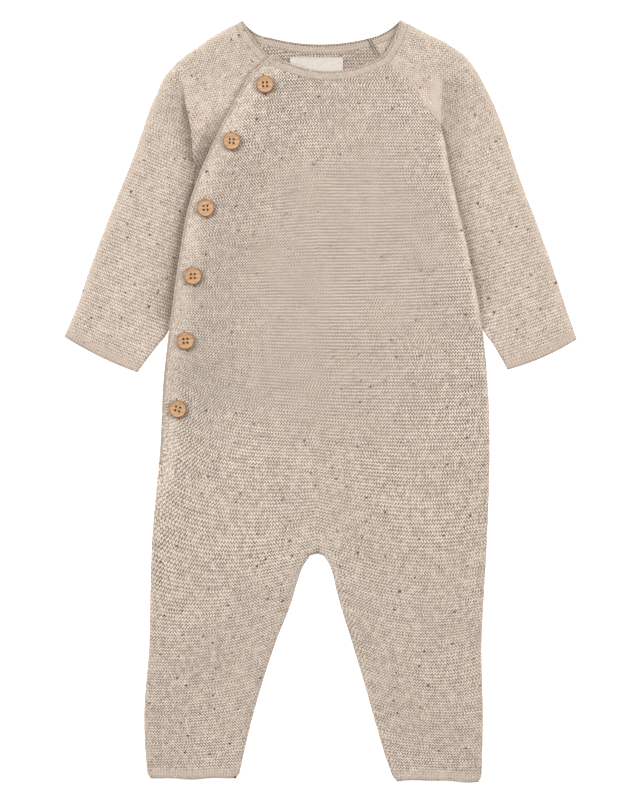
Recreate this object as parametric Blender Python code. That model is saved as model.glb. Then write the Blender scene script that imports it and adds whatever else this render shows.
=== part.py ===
"""Footless knitted sleepsuit, laid flat on its back.

Front and back panels run from the neck to the leg hems, and two raglan sleeves hang beside
them. The front overlaps on the wearer's right, where six wooden buttons close it from the
neck to below the waist. The garment rests on the plane z = 0 with its front up and its neck
towards +Y. Sizes are millimetres and become metres when a mesh is made.
"""

import math

import bmesh
import bpy
import numpy as np

MM = 0.001

# ---- cloth, layers and seams -----------------------------------------------------------
WALL = 1.6
LAYER_PITCH = 2.1
SEAM_GAP = 0.3
LEVEL = [WALL / 2 + LAYER_PITCH * layer for layer in range(4)]  # wall middles, floor up
SIDE_RADIUS = 2.1
NARROW_RADIUS = LAYER_PITCH / 2
CUFF_RADIUS = 1.6
SHOULDER_RADIUS = 1.8
NECK_LIFT = 1.3

# ---- the outlines' own origin, seen from the middle of the whole garment's box ---------
FRAME_SHIFT = np.array([0.0, 0.75, 0.0])

# ---- heights on the garment, measured along Y ------------------------------------------
SEAM_END = 205.0
UNDERARM = 53.0
OVERLAP_END = -46.0
CROTCH = -116.0
HEM = {"left": -284.5, "right": -286.5}
NECKLINE = {"front": (13.0, 28.0), "back": (6.5, 20.0)}  # sag, and how fast it dies out
BAND_WIDTH = 7.0
NECK_AIM = (0.0, 318.0)
BAND_CORNER = 20.0
BINDING_WIDTH = 2.6
BINDING_FLATNESS = 0.85
BINDING_SIDES = 8
STAND_WIDTH = 16.0
STAND_INSET = 1.5
TURNED_UNDER = 5.0
EDGE_MARKS = (19.0, 31.0)
LEG_MARKS = (7.0, 20.0)
ZONE_REACH = 7.0
CUFF_REACH = 5.0
STAND_REACH = 6.0
SEAM_FOLD = 9.0
LEG_TILT = 0.75
BEND_REACH = 6.0
BEND_STATIONS = 9

# ---- outlines --------------------------------------------------------------------------
FRONT_OUTLINE = dict(
    columns=("y", "left", "right"),
    rows=(
        (258, -36.0, 47.0), (252, -43.0, 51.5), (245, -51.0, 60.5), (235, -57.0, 69.0),
        (224, -63.5, 76.5), (210, -71.5, 85.5), (205, -74.0, 89.0), (196, -78.5, 94.0),
        (172, -89.5, 99.0), (146, -98.5, 104.0), (112, -105.0, 111.0), (74, -110.5, 118.0),
        (44, -114.5, 122.5), (13, -118.0, 125.5), (-38, -120.5, 127.0), (-68, -123.5, 126.5),
        (-106, -126.5, 125.0), (-151, -128.0, 122.5), (-181, -128.5, 121.0),
        (-241, -132.5, 122.0), (-286, -130.0, 121.0),
    ),
)
BACK_OUTLINE = dict(
    columns=("y", "left", "right"),
    rows=(
        (266, -42.0, 42.0), (254, -47.0, 46.5), (228, -59.0, 58.0), (198, -73.5, 74.5),
        (164, -88.0, 89.5), (127, -99.5, 103.0), (89, -107.5, 113.5), (53, -113.2, 121.2),
    ) + FRONT_OUTLINE["rows"][12:],
)
INNER_LEGS = dict(
    columns=("y", "left", "right", "rolled"),
    rows=(
        (-116, -2.5, -2.5, 0.0), (-117, -6.5, 1.0, 0.6), (-120, -9.5, 4.0, 1.6),
        (-128, -14.2, 8.0, 3.4), (-136, -17.0, 10.0, 5.0), (-151, -21.3, 13.8, 6.4),
        (-181, -33.0, 23.0, 6.7), (-211, -43.0, 32.0, 5.6), (-241, -51.5, 40.5, 4.6),
        (-271, -58.5, 49.5, 3.6), (-286, -61.0, 55.0, 3.0),
    ),
)

# A row runs from the sleeve's front edge over the outer fold to its back edge. The tuck is
# how far the front edge lies inside the body's outline, and negative where it is clear of it.
# The bow is how far the row's middle lies down the sleeve from a straight line.
RIGHT_SLEEVE = dict(
    columns=("front_y", "tuck", "outer_x", "outer_y", "back_y", "bow"),
    rows=(
        (252.0, 0.0, 66.5, 281.0, 266.0, 2.0), (250.0, 0.0, 79.0, 274.5, 258.0, 1.0),
        (246.0, 0.0, 95.0, 266.5, 247.0, 0.0), (239.0, 0.0, 108.5, 257.0, 234.0, 0.0),
        (228.0, 0.0, 117.5, 245.5, 220.0, 0.0), (216.0, 0.0, 124.0, 233.5, 207.0, 0.0),
        (205.0, 0.6, 130.0, 221.5, 194.0, 0.0), (190.0, 9.0, 137.5, 202.5, 179.0, 0.0),
        (170.0, 12.0, 145.0, 179.5, 160.0, 0.0), (142.0, 12.0, 152.5, 157.5, 137.0, 0.0),
        (112.0, 10.0, 161.5, 134.5, 110.0, 0.0), (80.0, 5.0, 172.0, 105.5, 80.0, 0.0),
        (53.0, -0.4, 181.0, 78.5, 53.0, 0.0), (40.5, -6.8, 186.0, 63.5, 40.5, 0.5),
        (22.0, -15.4, 192.5, 44.5, 22.0, 2.2),
    ),
)
LEFT_SLEEVE = dict(
    columns=("front_y", "tuck", "outer_x", "outer_y", "back_y", "bow"),
    rows=(
        (248.0, 11.0, -65.0, 280.5, 266.0, 3.0), (243.0, 10.0, -79.0, 273.0, 256.0, 1.5),
        (234.0, 9.5, -93.5, 263.0, 244.0, 0.0), (222.0, 9.0, -106.5, 253.5, 231.0, 0.0),
        (209.0, 9.0, -117.5, 241.0, 217.0, 0.0), (196.0, 9.0, -123.5, 228.0, 203.0, 0.0),
        (179.0, 9.0, -128.0, 218.0, 189.0, 0.0), (160.0, 9.0, -134.5, 199.0, 172.0, 0.0),
        (138.0, 9.0, -143.0, 175.5, 151.0, 0.0), (112.0, 8.5, -152.5, 152.0, 124.0, 0.0),
        (80.0, 5.0, -165.5, 119.0, 88.0, 0.0), (53.0, -0.4, -177.5, 85.0, 53.0, 0.0),
        (40.5, -7.0, -182.5, 70.5, 40.5, 0.5), (20.0, -20.0, -192.5, 46.5, 20.0, 1.8),
    ),
)

# The fold that lies over the left sleeve, beside the overlap's edge.
LEFT_CREASE = dict(
    columns=("y", "x", "height"),
    rows=((236, -106.0, 0.0), (222, -103.5, 1.6), (205, -99.0, 2.8), (190, -96.5, 3.0),
          (172, -96.0, 2.4), (156, -97.0, 0.0)),
)

# ---- buttons and label -----------------------------------------------------------------
BUTTON_DIAMETER = 13.3
BUTTON_THICKNESS = 2.6
BUTTON_RIM = 1.1
BUTTON_DISH = 0.4
BUTTON_HOLE_DIAMETER = 1.4
BUTTON_HOLE_SPACING = 2.9
BUTTON_CLEARANCE = 0.35
BUTTONS = dict(
    columns=("x", "y", "turn"),
    rows=((-41.5, 235.5, 4), (-66.5, 193.0, -3), (-86.0, 143.0, 2), (-95.5, 92.0, 0),
          (-101.0, 43.5, 3), (-107.0, -7.5, -13)),
)
LABEL_WIDTH = 40.0
LABEL_HEIGHT = 15.0
LABEL_WALL = 1.0
LABEL_CENTRE = (-3.0, 249.0)

# ---- colours: name, base colour, roughness ---------------------------------------------
KNIT_LOOK = ("knit", (0.56, 0.47, 0.39), 0.9)
BAND_LOOK = ("band", (0.60, 0.51, 0.43), 0.88)
WOOD_LOOK = ("wood", (0.55, 0.31, 0.16), 0.45)
LABEL_LOOK = ("label", (0.74, 0.69, 0.63), 0.7)


# ======== tables and curves ==============================================================

def column(table, name):
    """One named column of a table, as an array."""
    place = table["columns"].index(name)
    return np.array([row[place] for row in table["rows"]], float)


def smooth_curve(knots, values, at):
    """Cubic curve through (knots, values), whose slope at each knot is its neighbours'."""
    order = np.argsort(knots)
    k, v = np.asarray(knots, float)[order], np.asarray(values, float)[order]
    slope = np.gradient(v, k)
    at = np.clip(np.asarray(at, float), k[0], k[-1])
    i = np.clip(np.searchsorted(k, at) - 1, 0, len(k) - 2)
    step = k[i + 1] - k[i]
    t = (at - k[i]) / step
    start = (1 + 2 * t) * (1 - t) ** 2 * v[i] + t * (1 - t) ** 2 * step * slope[i]
    end = t * t * (3 - 2 * t) * v[i + 1] + t * t * (t - 1) * step * slope[i + 1]
    return start + end


def read(table, name, y):
    """A table's column as a smooth curve, read at the heights y."""
    return smooth_curve(column(table, "y"), column(table, name), y)


def soft_step(value, start, end):
    """0 before start and 1 past end, with an S-curve between; start may exceed end."""
    t = np.clip((value - start) / (end - start), 0, 1)
    return t * t * (3 - 2 * t)


def slant(table, name, y):
    """Length of the outline per unit of Y, which turns a true inset into one along X."""
    slope = read(table, name, y + 0.5) - read(table, name, y - 0.5)
    return np.sqrt(1 + slope ** 2)


# ======== folds ==========================================================================

def fold_inset(arc, radius):
    """Plan distance from a fold's outermost line, at a length along the cloth from it."""
    turn = np.minimum(np.abs(arc) / radius, math.pi / 2)
    return radius * (1 - np.cos(turn)) + np.maximum(np.abs(arc) - math.pi / 2 * radius, 0)


def fold_drop(arc, radius):
    """How far below the upper layer the cloth is: 0 on top, 2 radii once folded under."""
    turn = np.minimum(np.abs(arc) / radius, math.pi / 2)
    return radius * (1 - np.sign(arc) * np.sin(turn))


def arc_for_inset(inset, radius):
    """Length along the cloth from the fold's outermost line to a plan distance from it."""
    turn = math.acos(1 - min(inset / radius, 1))
    return radius * turn + max(inset - radius, 0)


def fold_stations(count, end, reach, radius):
    """Lengths from a fold's end to its reach, three times as close together on the bend."""
    bend = math.pi / 2 * radius
    dense = np.linspace(end, reach, 200)
    weight = np.where(np.abs(dense) < bend, 3.0, 1.0)
    run = np.concatenate([[0], np.cumsum((weight[1:] + weight[:-1]) / 2)])
    return np.interp(np.linspace(0, run[-1], count), run, dense)


def edge_zone(fold, radius, under, reach, count):
    """Insets and drops of the columns beside an edge, from the edge inwards.

    fold is 0 for a flat edge, 1 for one that turns down to its middle, and 2 for one that
    turns right under. under is the length that lies beneath once it has.
    """
    gap = SEAM_GAP / 2 * min(fold, 1) * max(2 - fold, 0)
    end = math.pi / 2 * radius * (1 - fold) + gap - under
    arcs = fold_stations(count, end, arc_for_inset(reach, radius), radius)
    outermost = fold_inset(np.array(end), radius) if end > 0 else 0.0
    share = min(fold, 1)
    edge = SEAM_GAP / 2 * (1 - share) + WALL / 2 * share
    return edge + fold_inset(arcs, radius) - outermost, fold_drop(arcs, radius)


# ======== walls ==========================================================================

def thicken(points, faces, wall):
    """A closed wall round a sheet of quads: both faces, and a rim along every free edge.

    A free edge's normals carry on the turn of the cloth beside it, so rims meet squarely.
    """
    corners = points[faces]
    face_normals = np.cross(corners[:, 2] - corners[:, 0], corners[:, 3] - corners[:, 1])
    normals = np.zeros_like(points)
    for corner in range(4):
        np.add.at(normals, faces[:, corner], face_normals)
    normals /= np.linalg.norm(normals, axis=1, keepdims=True)
    quads = np.vstack([np.roll(faces, -corner, axis=1) for corner in range(4)])
    known = set(map(tuple, quads[:, :2].tolist()))
    free = quads[[(second, first) not in known for first, second in quads[:, :2].tolist()]]
    turned = normals.copy()
    for edge, inner in ((0, 3), (1, 2)):
        np.add.at(turned, free[:, edge], normals[free[:, edge]] - normals[free[:, inner]])
    turned /= np.linalg.norm(turned, axis=1, keepdims=True)
    count = len(points)
    both = np.vstack([points + turned * wall / 2, points - turned * wall / 2])
    rim = np.column_stack([free[:, 1], free[:, 0], free[:, 0] + count, free[:, 1] + count])
    return both, np.vstack([faces, faces[:, ::-1] + count, rim])


def grid_faces(index):
    """Quads of a grid whose vertex numbers are given, facing up if rows run down the cloth."""
    return np.stack([index[1:, :-1], index[1:, 1:], index[:-1, 1:], index[:-1, :-1]],
                    axis=-1).reshape(-1, 4)


def add_mesh(name, points, faces, material):
    """A mesh object from points in millimetres."""
    mesh = bpy.data.meshes.new(name)
    faces = [list(map(int, face)) for face in faces]
    mesh.from_pydata(((np.asarray(points) + FRAME_SHIFT) * MM).tolist(), [], faces)
    mesh.shade_smooth()
    mesh.materials.append(material)
    part = bpy.data.objects.new(name, mesh)
    bpy.context.collection.objects.link(part)
    return part


def add_material(name, colour, roughness):
    """A plain material."""
    material = bpy.data.materials.new(name)
    material.use_nodes = True
    surface = material.node_tree.nodes["Principled BSDF"]
    surface.inputs["Base Color"].default_value = (*colour, 1)
    surface.inputs["Roughness"].default_value = roughness
    surface.inputs["Metallic"].default_value = 0.0
    return material


# ======== heights of the layers ==========================================================

SIDE_LEVEL = LEVEL[0] + 2 * SIDE_RADIUS


def overlap_level(y):
    """Middle of the front's wall along the overlap: over three layers, then over two."""
    return LEVEL[2] + LAYER_PITCH * soft_step(y, 8, 34)


def right_edge_level(y):
    """Middle of the front's wall along its right edge, raised where it lies on the sleeve."""
    seam = LEVEL[1] + NECK_LIFT
    seam_end = seam + (LEVEL[2] + 0.2 - seam) * soft_step(y, SEAM_END + 25, SEAM_END)
    raised = seam_end + (LEVEL[3] - seam_end) * soft_step(y, SEAM_END, SEAM_END - 15)
    return SIDE_LEVEL + (raised - SIDE_LEVEL) * soft_step(y, UNDERARM - 8, UNDERARM + 8)


def sewn_side(y):
    """0 along the overlap and 1 below it, where the left side is sewn up."""
    return soft_step(y, OVERLAP_END + 2, OVERLAP_END - 12)


def leg_line(y, side):
    """Middle of the wall along a leg's inner edge at the heights y, as plan points."""
    inwards = -1 if side == "left" else 1
    steep = soft_step(y, CROTCH, CROTCH - 8)
    x = read(INNER_LEGS, side, y) + inwards * WALL / 2 * steep
    return np.column_stack([x, y + WALL / 2 * (1 - steep)])


def crotch_distance(x, y):
    """Plan distance to the nearest inner leg edge."""
    heights = CROTCH + (HEM["right"] - CROTCH) * np.linspace(0, 1, 90) ** 2
    line = np.vstack([leg_line(heights, "left"), leg_line(heights, "right")])
    gaps = np.hypot(x[..., None] - line[:, 0], y[..., None] - line[:, 1])
    return gaps.min(axis=-1)


def crotch_drop(distance):
    """How far the cloth turns down beside an inner leg edge."""
    inset = np.clip(distance, 0.01, SIDE_RADIUS)
    return SIDE_RADIUS * (1 - np.sqrt(1 - (1 - inset / SIDE_RADIUS) ** 2))


def front_level(x, y, from_left, from_right, from_neck):
    """Middle of the front's wall, from its place and its distances to the edges."""
    level = LEVEL[1] + NECK_LIFT * soft_step(from_neck, 30, 8)
    right_flat = 6 + 10 * soft_step(y, UNDERARM, UNDERARM + 30)
    level += (right_edge_level(y) - level) * soft_step(from_right, right_flat + 20, right_flat)
    left_flat = EDGE_MARKS[0] - 14 * sewn_side(y)
    level += (overlap_level(y) - level) * soft_step(from_left, left_flat + 13, left_flat)
    inner = soft_step(crotch_distance(x, y), 24, 5)
    return level + (SIDE_LEVEL - level) * inner


# ======== edges of the two panels ========================================================

def left_radius(y):
    """Fold radius at the left side: half the height of what lies over the back's edge."""
    under_overlap = (overlap_level(y) - LAYER_PITCH - LEVEL[0]) / 2
    return under_overlap + (SIDE_RADIUS - under_overlap) * sewn_side(y)


def below_underarm(y):
    """0 along the raglan seams and 1 along the sides."""
    return soft_step(y, UNDERARM, UNDERARM - SEAM_FOLD)


def front_left_edge(y):
    """Outline x, fold, radius and length under of the front's left edge at a height."""
    closed = soft_step(y, OVERLAP_END - 1, OVERLAP_END - 11)
    inset = (BINDING_WIDTH + 1.3 * SEAM_GAP) * slant(FRONT_OUTLINE, "left", y) * (1 - closed)
    return read(FRONT_OUTLINE, "left", y) + inset, closed, SIDE_RADIUS, 0.0


def front_right_edge(y):
    """The same for its right edge, which turns right under where it lies on the sleeve."""
    turned = soft_step(y, SEAM_END, SEAM_END - 15)
    side = soft_step(y, UNDERARM + 22, UNDERARM + 6)
    radius = NARROW_RADIUS + (SIDE_RADIUS - NARROW_RADIUS) * soft_step(y, UNDERARM + 8,
                                                                       UNDERARM - 8)
    under = soft_step(y, SEAM_END - 15, SEAM_END - 35) * soft_step(y, UNDERARM + 22,
                                                                   UNDERARM + 40)
    return read(FRONT_OUTLINE, "right", y), 2 * turned - side, radius, TURNED_UNDER * under


def back_left_edge(y):
    """The same for the back's left edge."""
    return read(BACK_OUTLINE, "left", y), below_underarm(y), left_radius(y), 0.0


def back_right_edge(y):
    """The same for the back's right edge."""
    return read(BACK_OUTLINE, "right", y), below_underarm(y), SIDE_RADIUS, 0.0


def leg_edge(panel, side, y):
    """Insets and drops of the columns beside a leg's inner edge, from the edge inwards.

    On the right leg the back's edge rolls over to the front, and the front's edge meets it
    there.
    """
    rolled = float(read(INNER_LEGS, "rolled", y)) if side == "right" else 0.0
    seam = arc_for_inset(rolled, SIDE_RADIUS)
    gap = SEAM_GAP / 2 * (1 + min(rolled, 1))
    end = gap + (seam if panel == "front" else -seam)
    count = 7 if (panel, side) == ("back", "right") else 4
    reach = arc_for_inset(LEG_MARKS[0] + rolled * (panel == "front"), SIDE_RADIUS)
    arcs = fold_stations(count, end, reach, SIDE_RADIUS)[:-1]
    return fold_inset(arcs, SIDE_RADIUS), fold_drop(arcs, SIDE_RADIUS), rolled


# ======== front and back =================================================================

FRONT_HEIGHTS = (252, 245, 235, 222, 212, 205, 197, 189, 175, 155, 130, 104, 80, 66, 58, 52,
                 46, 38, 22, 4, -20, -44, -51, -58, -72, -90, -104, -111, -113.7, CROTCH + WALL / 2)
BACK_HEIGHTS = (266, 258, 249, 237, 220, 200, 175, 150, 125, 100, 75, 58, 52, 46, 42, 34,
                26, 18, 8, -20, -44, -51, -58, -72, -90, -104, -111, -113.7, CROTCH + WALL / 2)
LEG_STEPS = 10
LEG_SPACING = 1.8


def panel_sheet(panel):
    """Points and quads of the wall's middle for the front or the back."""
    front = panel == "front"
    heights = np.array(FRONT_HEIGHTS if front else BACK_HEIGHTS, float)
    edges = (front_left_edge, front_right_edge) if front else (back_left_edge, back_right_edge)
    zone_counts = (4, 8) if front else (4, 5)
    near = [leg_edge(panel, side, CROTCH)[0] for side in ("left", "right")]
    sag, sag_fade = NECKLINE[panel]

    def height(x, y, left, right, from_neck):
        if front:
            level = front_level(x, y, x - left, right - x, from_neck)
            return level - crotch_drop(crotch_distance(x, y))
        return LEVEL[0] + crotch_drop(crotch_distance(x, y))

    def edge_columns(y):
        zones = []
        for edge, count in zip(edges, zone_counts):
            line, fold, radius, under = edge(y)
            inset, drop = edge_zone(fold, radius, under, ZONE_REACH, count)
            zones.append((float(line), inset, drop))
        return zones

    rows = []
    for y in heights:
        (left, left_inset, left_drop), (right, right_inset, right_drop) = edge_columns(y)
        left_side = np.concatenate([left + left_inset, left + np.array(EDGE_MARKS)])
        right_side = np.concatenate([right - right_inset, right - np.array(EDGE_MARKS)])[::-1]
        centre = float(read(INNER_LEGS, "left", CROTCH))
        marks = np.array(LEG_MARKS)
        close = np.concatenate([centre - marks[::-1], centre - near[0][:0:-1], [centre],
                                centre + near[1][1:], centre + marks])
        close = np.concatenate([[(left_side[-1] + close[0]) / 2], close,
                                [(right_side[0] + close[-1]) / 2]])
        spread = np.linspace(left_side[-1], right_side[0], len(close) + 2)[1:-1]
        gathered = soft_step(y, CROTCH + 60, CROTCH)
        middle = spread + (close - spread) * gathered
        x = np.concatenate([left_side, middle, right_side])
        across = np.clip((x - left) / (right - left), 0, 1)
        from_neck = heights[0] - y
        plan_y = y - sag * math.exp(-from_neck / sag_fade) * 4 * across * (1 - across)
        z = height(x, np.full_like(x, y), left, right, from_neck)
        drop = np.concatenate([left_drop, np.zeros(len(x) - len(left_drop) - len(right_drop)),
                               right_drop[::-1]])
        rows.append(np.column_stack([x, plan_y, z - drop if front else z + drop]))
    points = list(np.vstack(rows))
    width = len(rows[0])
    index = np.arange(len(points)).reshape(len(rows), width)
    faces = [grid_faces(index)]
    split = len(left_side) + 1 + len(LEG_MARKS) + len(near[0]) - 1

    for side in ("left", "right"):
        columns = index[-1, :split + 1] if side == "left" else index[-1, split:][::-1]
        previous = columns
        for step in range(1, LEG_STEPS + 1):
            part = step / LEG_STEPS
            inner_y = CROTCH + (HEM[side] - CROTCH) * part ** LEG_SPACING
            outer_y = CROTCH + (HEM[side] - CROTCH) * part ** (LEG_SPACING * LEG_TILT)
            zones = edge_columns(outer_y)
            line, inset, drop = zones[0] if side == "left" else zones[1]
            outer = np.array([line, outer_y])
            inner = leg_line(np.array([inner_y]), side)[0]
            length = np.linalg.norm(inner - outer)
            leg_inset, leg_drop, rolled = leg_edge(panel, side, inner_y)
            marks = length - (rolled if front else 0.0) - np.array(LEG_MARKS[::-1])
            halfway = (EDGE_MARKS[-1] + marks[0]) / 2
            along = np.concatenate([inset, EDGE_MARKS, [halfway], marks,
                                    length - leg_inset[::-1]])
            plan = outer + (inner - outer) * along[:, None] / length
            z = height(plan[:, 0], plan[:, 1], line if side == "left" else -1e3,
                       line if side == "right" else 1e3, 1e3)
            turned = np.zeros(len(along))
            turned[:len(inset)] = drop
            rolled_part = leg_drop[::-1] > SIDE_RADIUS
            if front:
                z = z - turned
            else:
                z = z + turned
                z[-len(leg_inset):][rolled_part] = LEVEL[0] + leg_drop[::-1][rolled_part]
            start = len(points)
            points.extend(np.column_stack([plan, z]))
            current = np.arange(start, start + len(along))
            grid = np.array([previous, current])
            faces.append(grid_faces(grid if side == "left" else grid[:, ::-1]))
            previous = current
    faces = np.vstack(faces)
    return np.array(points), faces if front else faces[:, ::-1], rows[0]


def add_panel(panel, material):
    """The front or back solid; returns its neckline, for the band."""
    points, faces, neckline = panel_sheet(panel)
    add_mesh(panel, *thicken(points, faces, WALL), material)
    return neckline


# ======== sleeves ========================================================================

def crease_height(x, y):
    """Height of the fold beside the overlap: up over its inner side, down at the crease."""
    crease_x = read(LEFT_CREASE, "x", y)
    crest = read(LEFT_CREASE, "height", y)
    from_overlap = read(FRONT_OUTLINE, "left", y) - x
    return crest * soft_step(x - crease_x, -1.5, 1.5) * soft_step(from_overlap, 5, 12)


def sleeve_sheet(table, side):
    """Points and quads of the wall's middle for a sleeve, and its row along the neck."""
    right = side == "right"
    outward = 1 if right else -1
    rows = []
    for front_y, tuck, outer_x, outer_y, back_y, bow in table["rows"]:
        front_x = read(FRONT_OUTLINE, side, front_y) - outward * tuck
        back_x = read(BACK_OUTLINE, side, back_y) - outward * min(tuck, 0)
        starts = np.array([front_x, front_y]), np.array([back_x, back_y])
        outer = np.array([outer_x - outward * WALL / 2, outer_y])
        near_neck = soft_step(outer_y, 255, 268)
        fold = soft_step(front_y, UNDERARM + 1, UNDERARM - SEAM_FOLD)
        inner_top = LEVEL[1] + (2 * CUFF_RADIUS + LEVEL[0] - LEVEL[1]) * soft_step(
            front_y, UNDERARM + 7, UNDERARM - SEAM_FOLD)
        if right:
            beside_seam = soft_step(front_y, SEAM_END + 2, SEAM_END + 14)
            inner_top += (right_edge_level(front_y) - inner_top) * beside_seam
        outer_top = LEVEL[0] + 2 * SHOULDER_RADIUS
        middle_top = LEVEL[1] + NECK_LIFT * near_neck
        inner_flat = 3 + 11 * soft_step(tuck, 0, 6)
        inset, drop = edge_zone(fold, CUFF_RADIUS, 0.0, CUFF_REACH, 4)
        bend = fold_stations(BEND_STATIONS, -BEND_REACH, BEND_REACH, SHOULDER_RADIUS)
        half = {}
        for layer, start in zip(("top", "bottom"), starts):
            reach = np.linalg.norm(outer - start)
            arcs = bend[bend >= 0][::-1] if layer == "top" else bend[bend < 0][::-1]
            inner_mark = min(inner_flat + 1, reach * 0.4)
            if layer == "top":
                marks = np.linspace(inner_mark, reach - 13, 5 if right else 7)
                along = np.concatenate([inset, marks, reach - fold_inset(arcs,
                                                                         SHOULDER_RADIUS)])
            else:
                marks = np.linspace(reach - 13, 12, 4)
                along = np.concatenate([reach - fold_inset(arcs, SHOULDER_RADIUS), marks,
                                        inset[::-1]])
            share = along[:, None] / reach
            down = np.array([outer[1] - start[1], start[0] - outer[0]]) * outward / reach
            plan = start + (outer - start) * share + down * bow * 4 * share * (1 - share)
            if layer == "top":
                z = middle_top + (inner_top - middle_top) * soft_step(
                    along, inner_flat + 14, inner_flat)
                z += (outer_top - z) * soft_step(reach - along, 18, 5)
                if not right:
                    z += crease_height(plan[:, 0], plan[:, 1])
                z[:len(inset)] -= drop
                z[-len(arcs):] -= fold_drop(arcs, SHOULDER_RADIUS)
            else:
                z = np.full(len(along), LEVEL[0])
                z[:len(arcs)] = outer_top - fold_drop(arcs, SHOULDER_RADIUS)
                z[-len(inset):] += drop[::-1]
            half[layer] = np.column_stack([plan, z])
        rows.append(np.vstack([half["top"], half["bottom"]]))
    points = np.vstack(rows)
    faces = grid_faces(np.arange(len(points)).reshape(len(rows), -1))
    return points, faces if right else faces[:, ::-1], rows[0]


def add_sleeve(table, side, material):
    """A sleeve's solid; returns its neck edge, for the band."""
    points, faces, neck_row = sleeve_sheet(table, side)
    add_mesh("sleeve_" + side, *thicken(points, faces, WALL), material)
    return neck_row


# ======== neckband, overlap binding and button stand =====================================

def add_neckband(edges, material):
    """A ribbon on the panels' neck edges, given in order round the neck."""
    path = [edges[0][0]]
    for edge in edges:
        path.extend(point for point in edge if np.linalg.norm(point - path[-1]) > 0.7)
    path = np.array(path)
    aim = np.array(NECK_AIM) - path[:, :2]
    aim /= np.linalg.norm(aim, axis=1, keepdims=True)
    corner = np.array([read(FRONT_OUTLINE, "left", 258) - read(FRONT_OUTLINE, "left", 252), 6])
    corner /= np.linalg.norm(corner)
    place = np.arange(len(path))
    along = np.concatenate([[0], np.cumsum(np.linalg.norm(np.diff(path, axis=0), axis=1))])
    aim += (corner - aim) * soft_step(along, BAND_CORNER, 0)[:, None]
    aim /= np.linalg.norm(aim, axis=1, keepdims=True)
    rows = []
    for distance in (SEAM_GAP, SEAM_GAP + BAND_WIDTH / 2, SEAM_GAP + BAND_WIDTH):
        row = path.copy()
        row[:, :2] += aim * distance
        rows.append(row)
    points = np.vstack(rows)
    faces = grid_faces(place + len(path) * np.arange(3)[:, None])
    add_mesh("neckband", *thicken(points, faces, WALL), material)


STAND_HEIGHTS = (247, 238, 225, 205, 185, 160, 135, 110, 85, 66, 58, 52, 46, 42, 34, 26, 18,
                 8, -20, -43)


def add_button_stand(material):
    """The strip under the overlap, folded down to meet the back's edge at the side."""
    rows = []
    for y in STAND_HEIGHTS:
        inset_line = STAND_INSET * soft_step(y, UNDERARM - 4, UNDERARM + 4)
        line = read(FRONT_OUTLINE, "left", y) + inset_line * slant(FRONT_OUTLINE, "left", y)
        inset, drop = edge_zone(below_underarm(y), left_radius(y), 0.0, STAND_REACH, 4)
        inset = np.append(inset, STAND_WIDTH * slant(FRONT_OUTLINE, "left", y))
        level = overlap_level(y) - LAYER_PITCH - np.append(drop, 0)
        rows.append(np.column_stack([line + inset, np.full_like(inset, y), level]))
    points = np.vstack(rows)
    faces = grid_faces(np.arange(len(points)).reshape(len(rows), -1))
    add_mesh("button_stand", *thicken(points, faces, WALL), material)


def add_binding(material):
    """The rolled edge of the overlap: a thin tube outside the front's left edge."""
    heights = np.concatenate([np.linspace(258, 250, 4), np.linspace(242, OVERLAP_END, 18)])
    outline = np.column_stack([read(FRONT_OUTLINE, "left", heights), heights])
    run = np.gradient(outline, axis=0)
    run /= np.linalg.norm(run, axis=1, keepdims=True)
    inwards = np.column_stack([-run[:, 1], run[:, 0]])
    centre = outline + inwards * BINDING_WIDTH / 2
    turns = (np.arange(BINDING_SIDES) + 0.5) * 2 * math.pi / BINDING_SIDES
    across = BINDING_WIDTH / 2 * np.cos(turns)
    up = BINDING_WIDTH / 2 * BINDING_FLATNESS * np.sin(turns)
    plan = centre[:, None] + inwards[:, None] * across[:, None]
    z = overlap_level(heights)[:, None] + up
    points = np.concatenate([plan, z[..., None]], axis=2).reshape(-1, 3)
    index = np.arange(len(points)).reshape(len(heights), BINDING_SIDES)
    ring = np.column_stack([index, index[:, 0]])
    faces = grid_faces(ring)[:, ::-1].tolist()
    faces += [index[0, ::-1].tolist(), index[-1].tolist()]
    add_mesh("overlap_binding", points, faces, material)


# ======== label and buttons ==============================================================

def add_label(material):
    """A bare woven label on the inside of the back, below the band."""
    across = np.linspace(-LABEL_WIDTH / 2, LABEL_WIDTH / 2, 3) + LABEL_CENTRE[0]
    down = np.linspace(LABEL_HEIGHT / 2, -LABEL_HEIGHT / 2, 3) + LABEL_CENTRE[1]
    x, y = np.meshgrid(across, down)
    z = np.full_like(x, WALL + SEAM_GAP + LABEL_WALL / 2)
    faces = grid_faces(np.arange(9).reshape(3, 3))
    points = np.stack([x, y, z], axis=-1).reshape(-1, 3)
    add_mesh("neck_label", *thicken(points, faces, LABEL_WALL), material)


def button_mesh(material):
    """A turned disc with a rim and a shallow dish, as a mesh about its own centre."""
    outer, top = BUTTON_DIAMETER / 2, BUTTON_THICKNESS / 2
    dish = outer - BUTTON_RIM
    profile = ((0, -top), (outer - 0.9, -top), (outer, -top + 0.8), (outer, top - 0.6),
               (outer - 0.5, top), (dish, top), (dish - 0.7, top - BUTTON_DISH),
               (0, top - BUTTON_DISH))
    shape = bmesh.new()
    points = [shape.verts.new((radius * MM, 0, z * MM)) for radius, z in profile]
    edges = [shape.edges.new(pair) for pair in zip(points, points[1:])]
    bmesh.ops.spin(shape, geom=points + edges, cent=(0, 0, 0), axis=(0, 0, 1),
                   angle=2 * math.pi, steps=24)
    bmesh.ops.remove_doubles(shape, verts=shape.verts, dist=1e-5)
    bmesh.ops.recalc_face_normals(shape, faces=shape.faces)
    mesh = bpy.data.meshes.new("button")
    shape.to_mesh(mesh)
    shape.free()
    mesh.shade_smooth()
    mesh.set_sharp_from_angle(angle=math.radians(35))
    mesh.materials.append(material)
    return mesh


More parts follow.
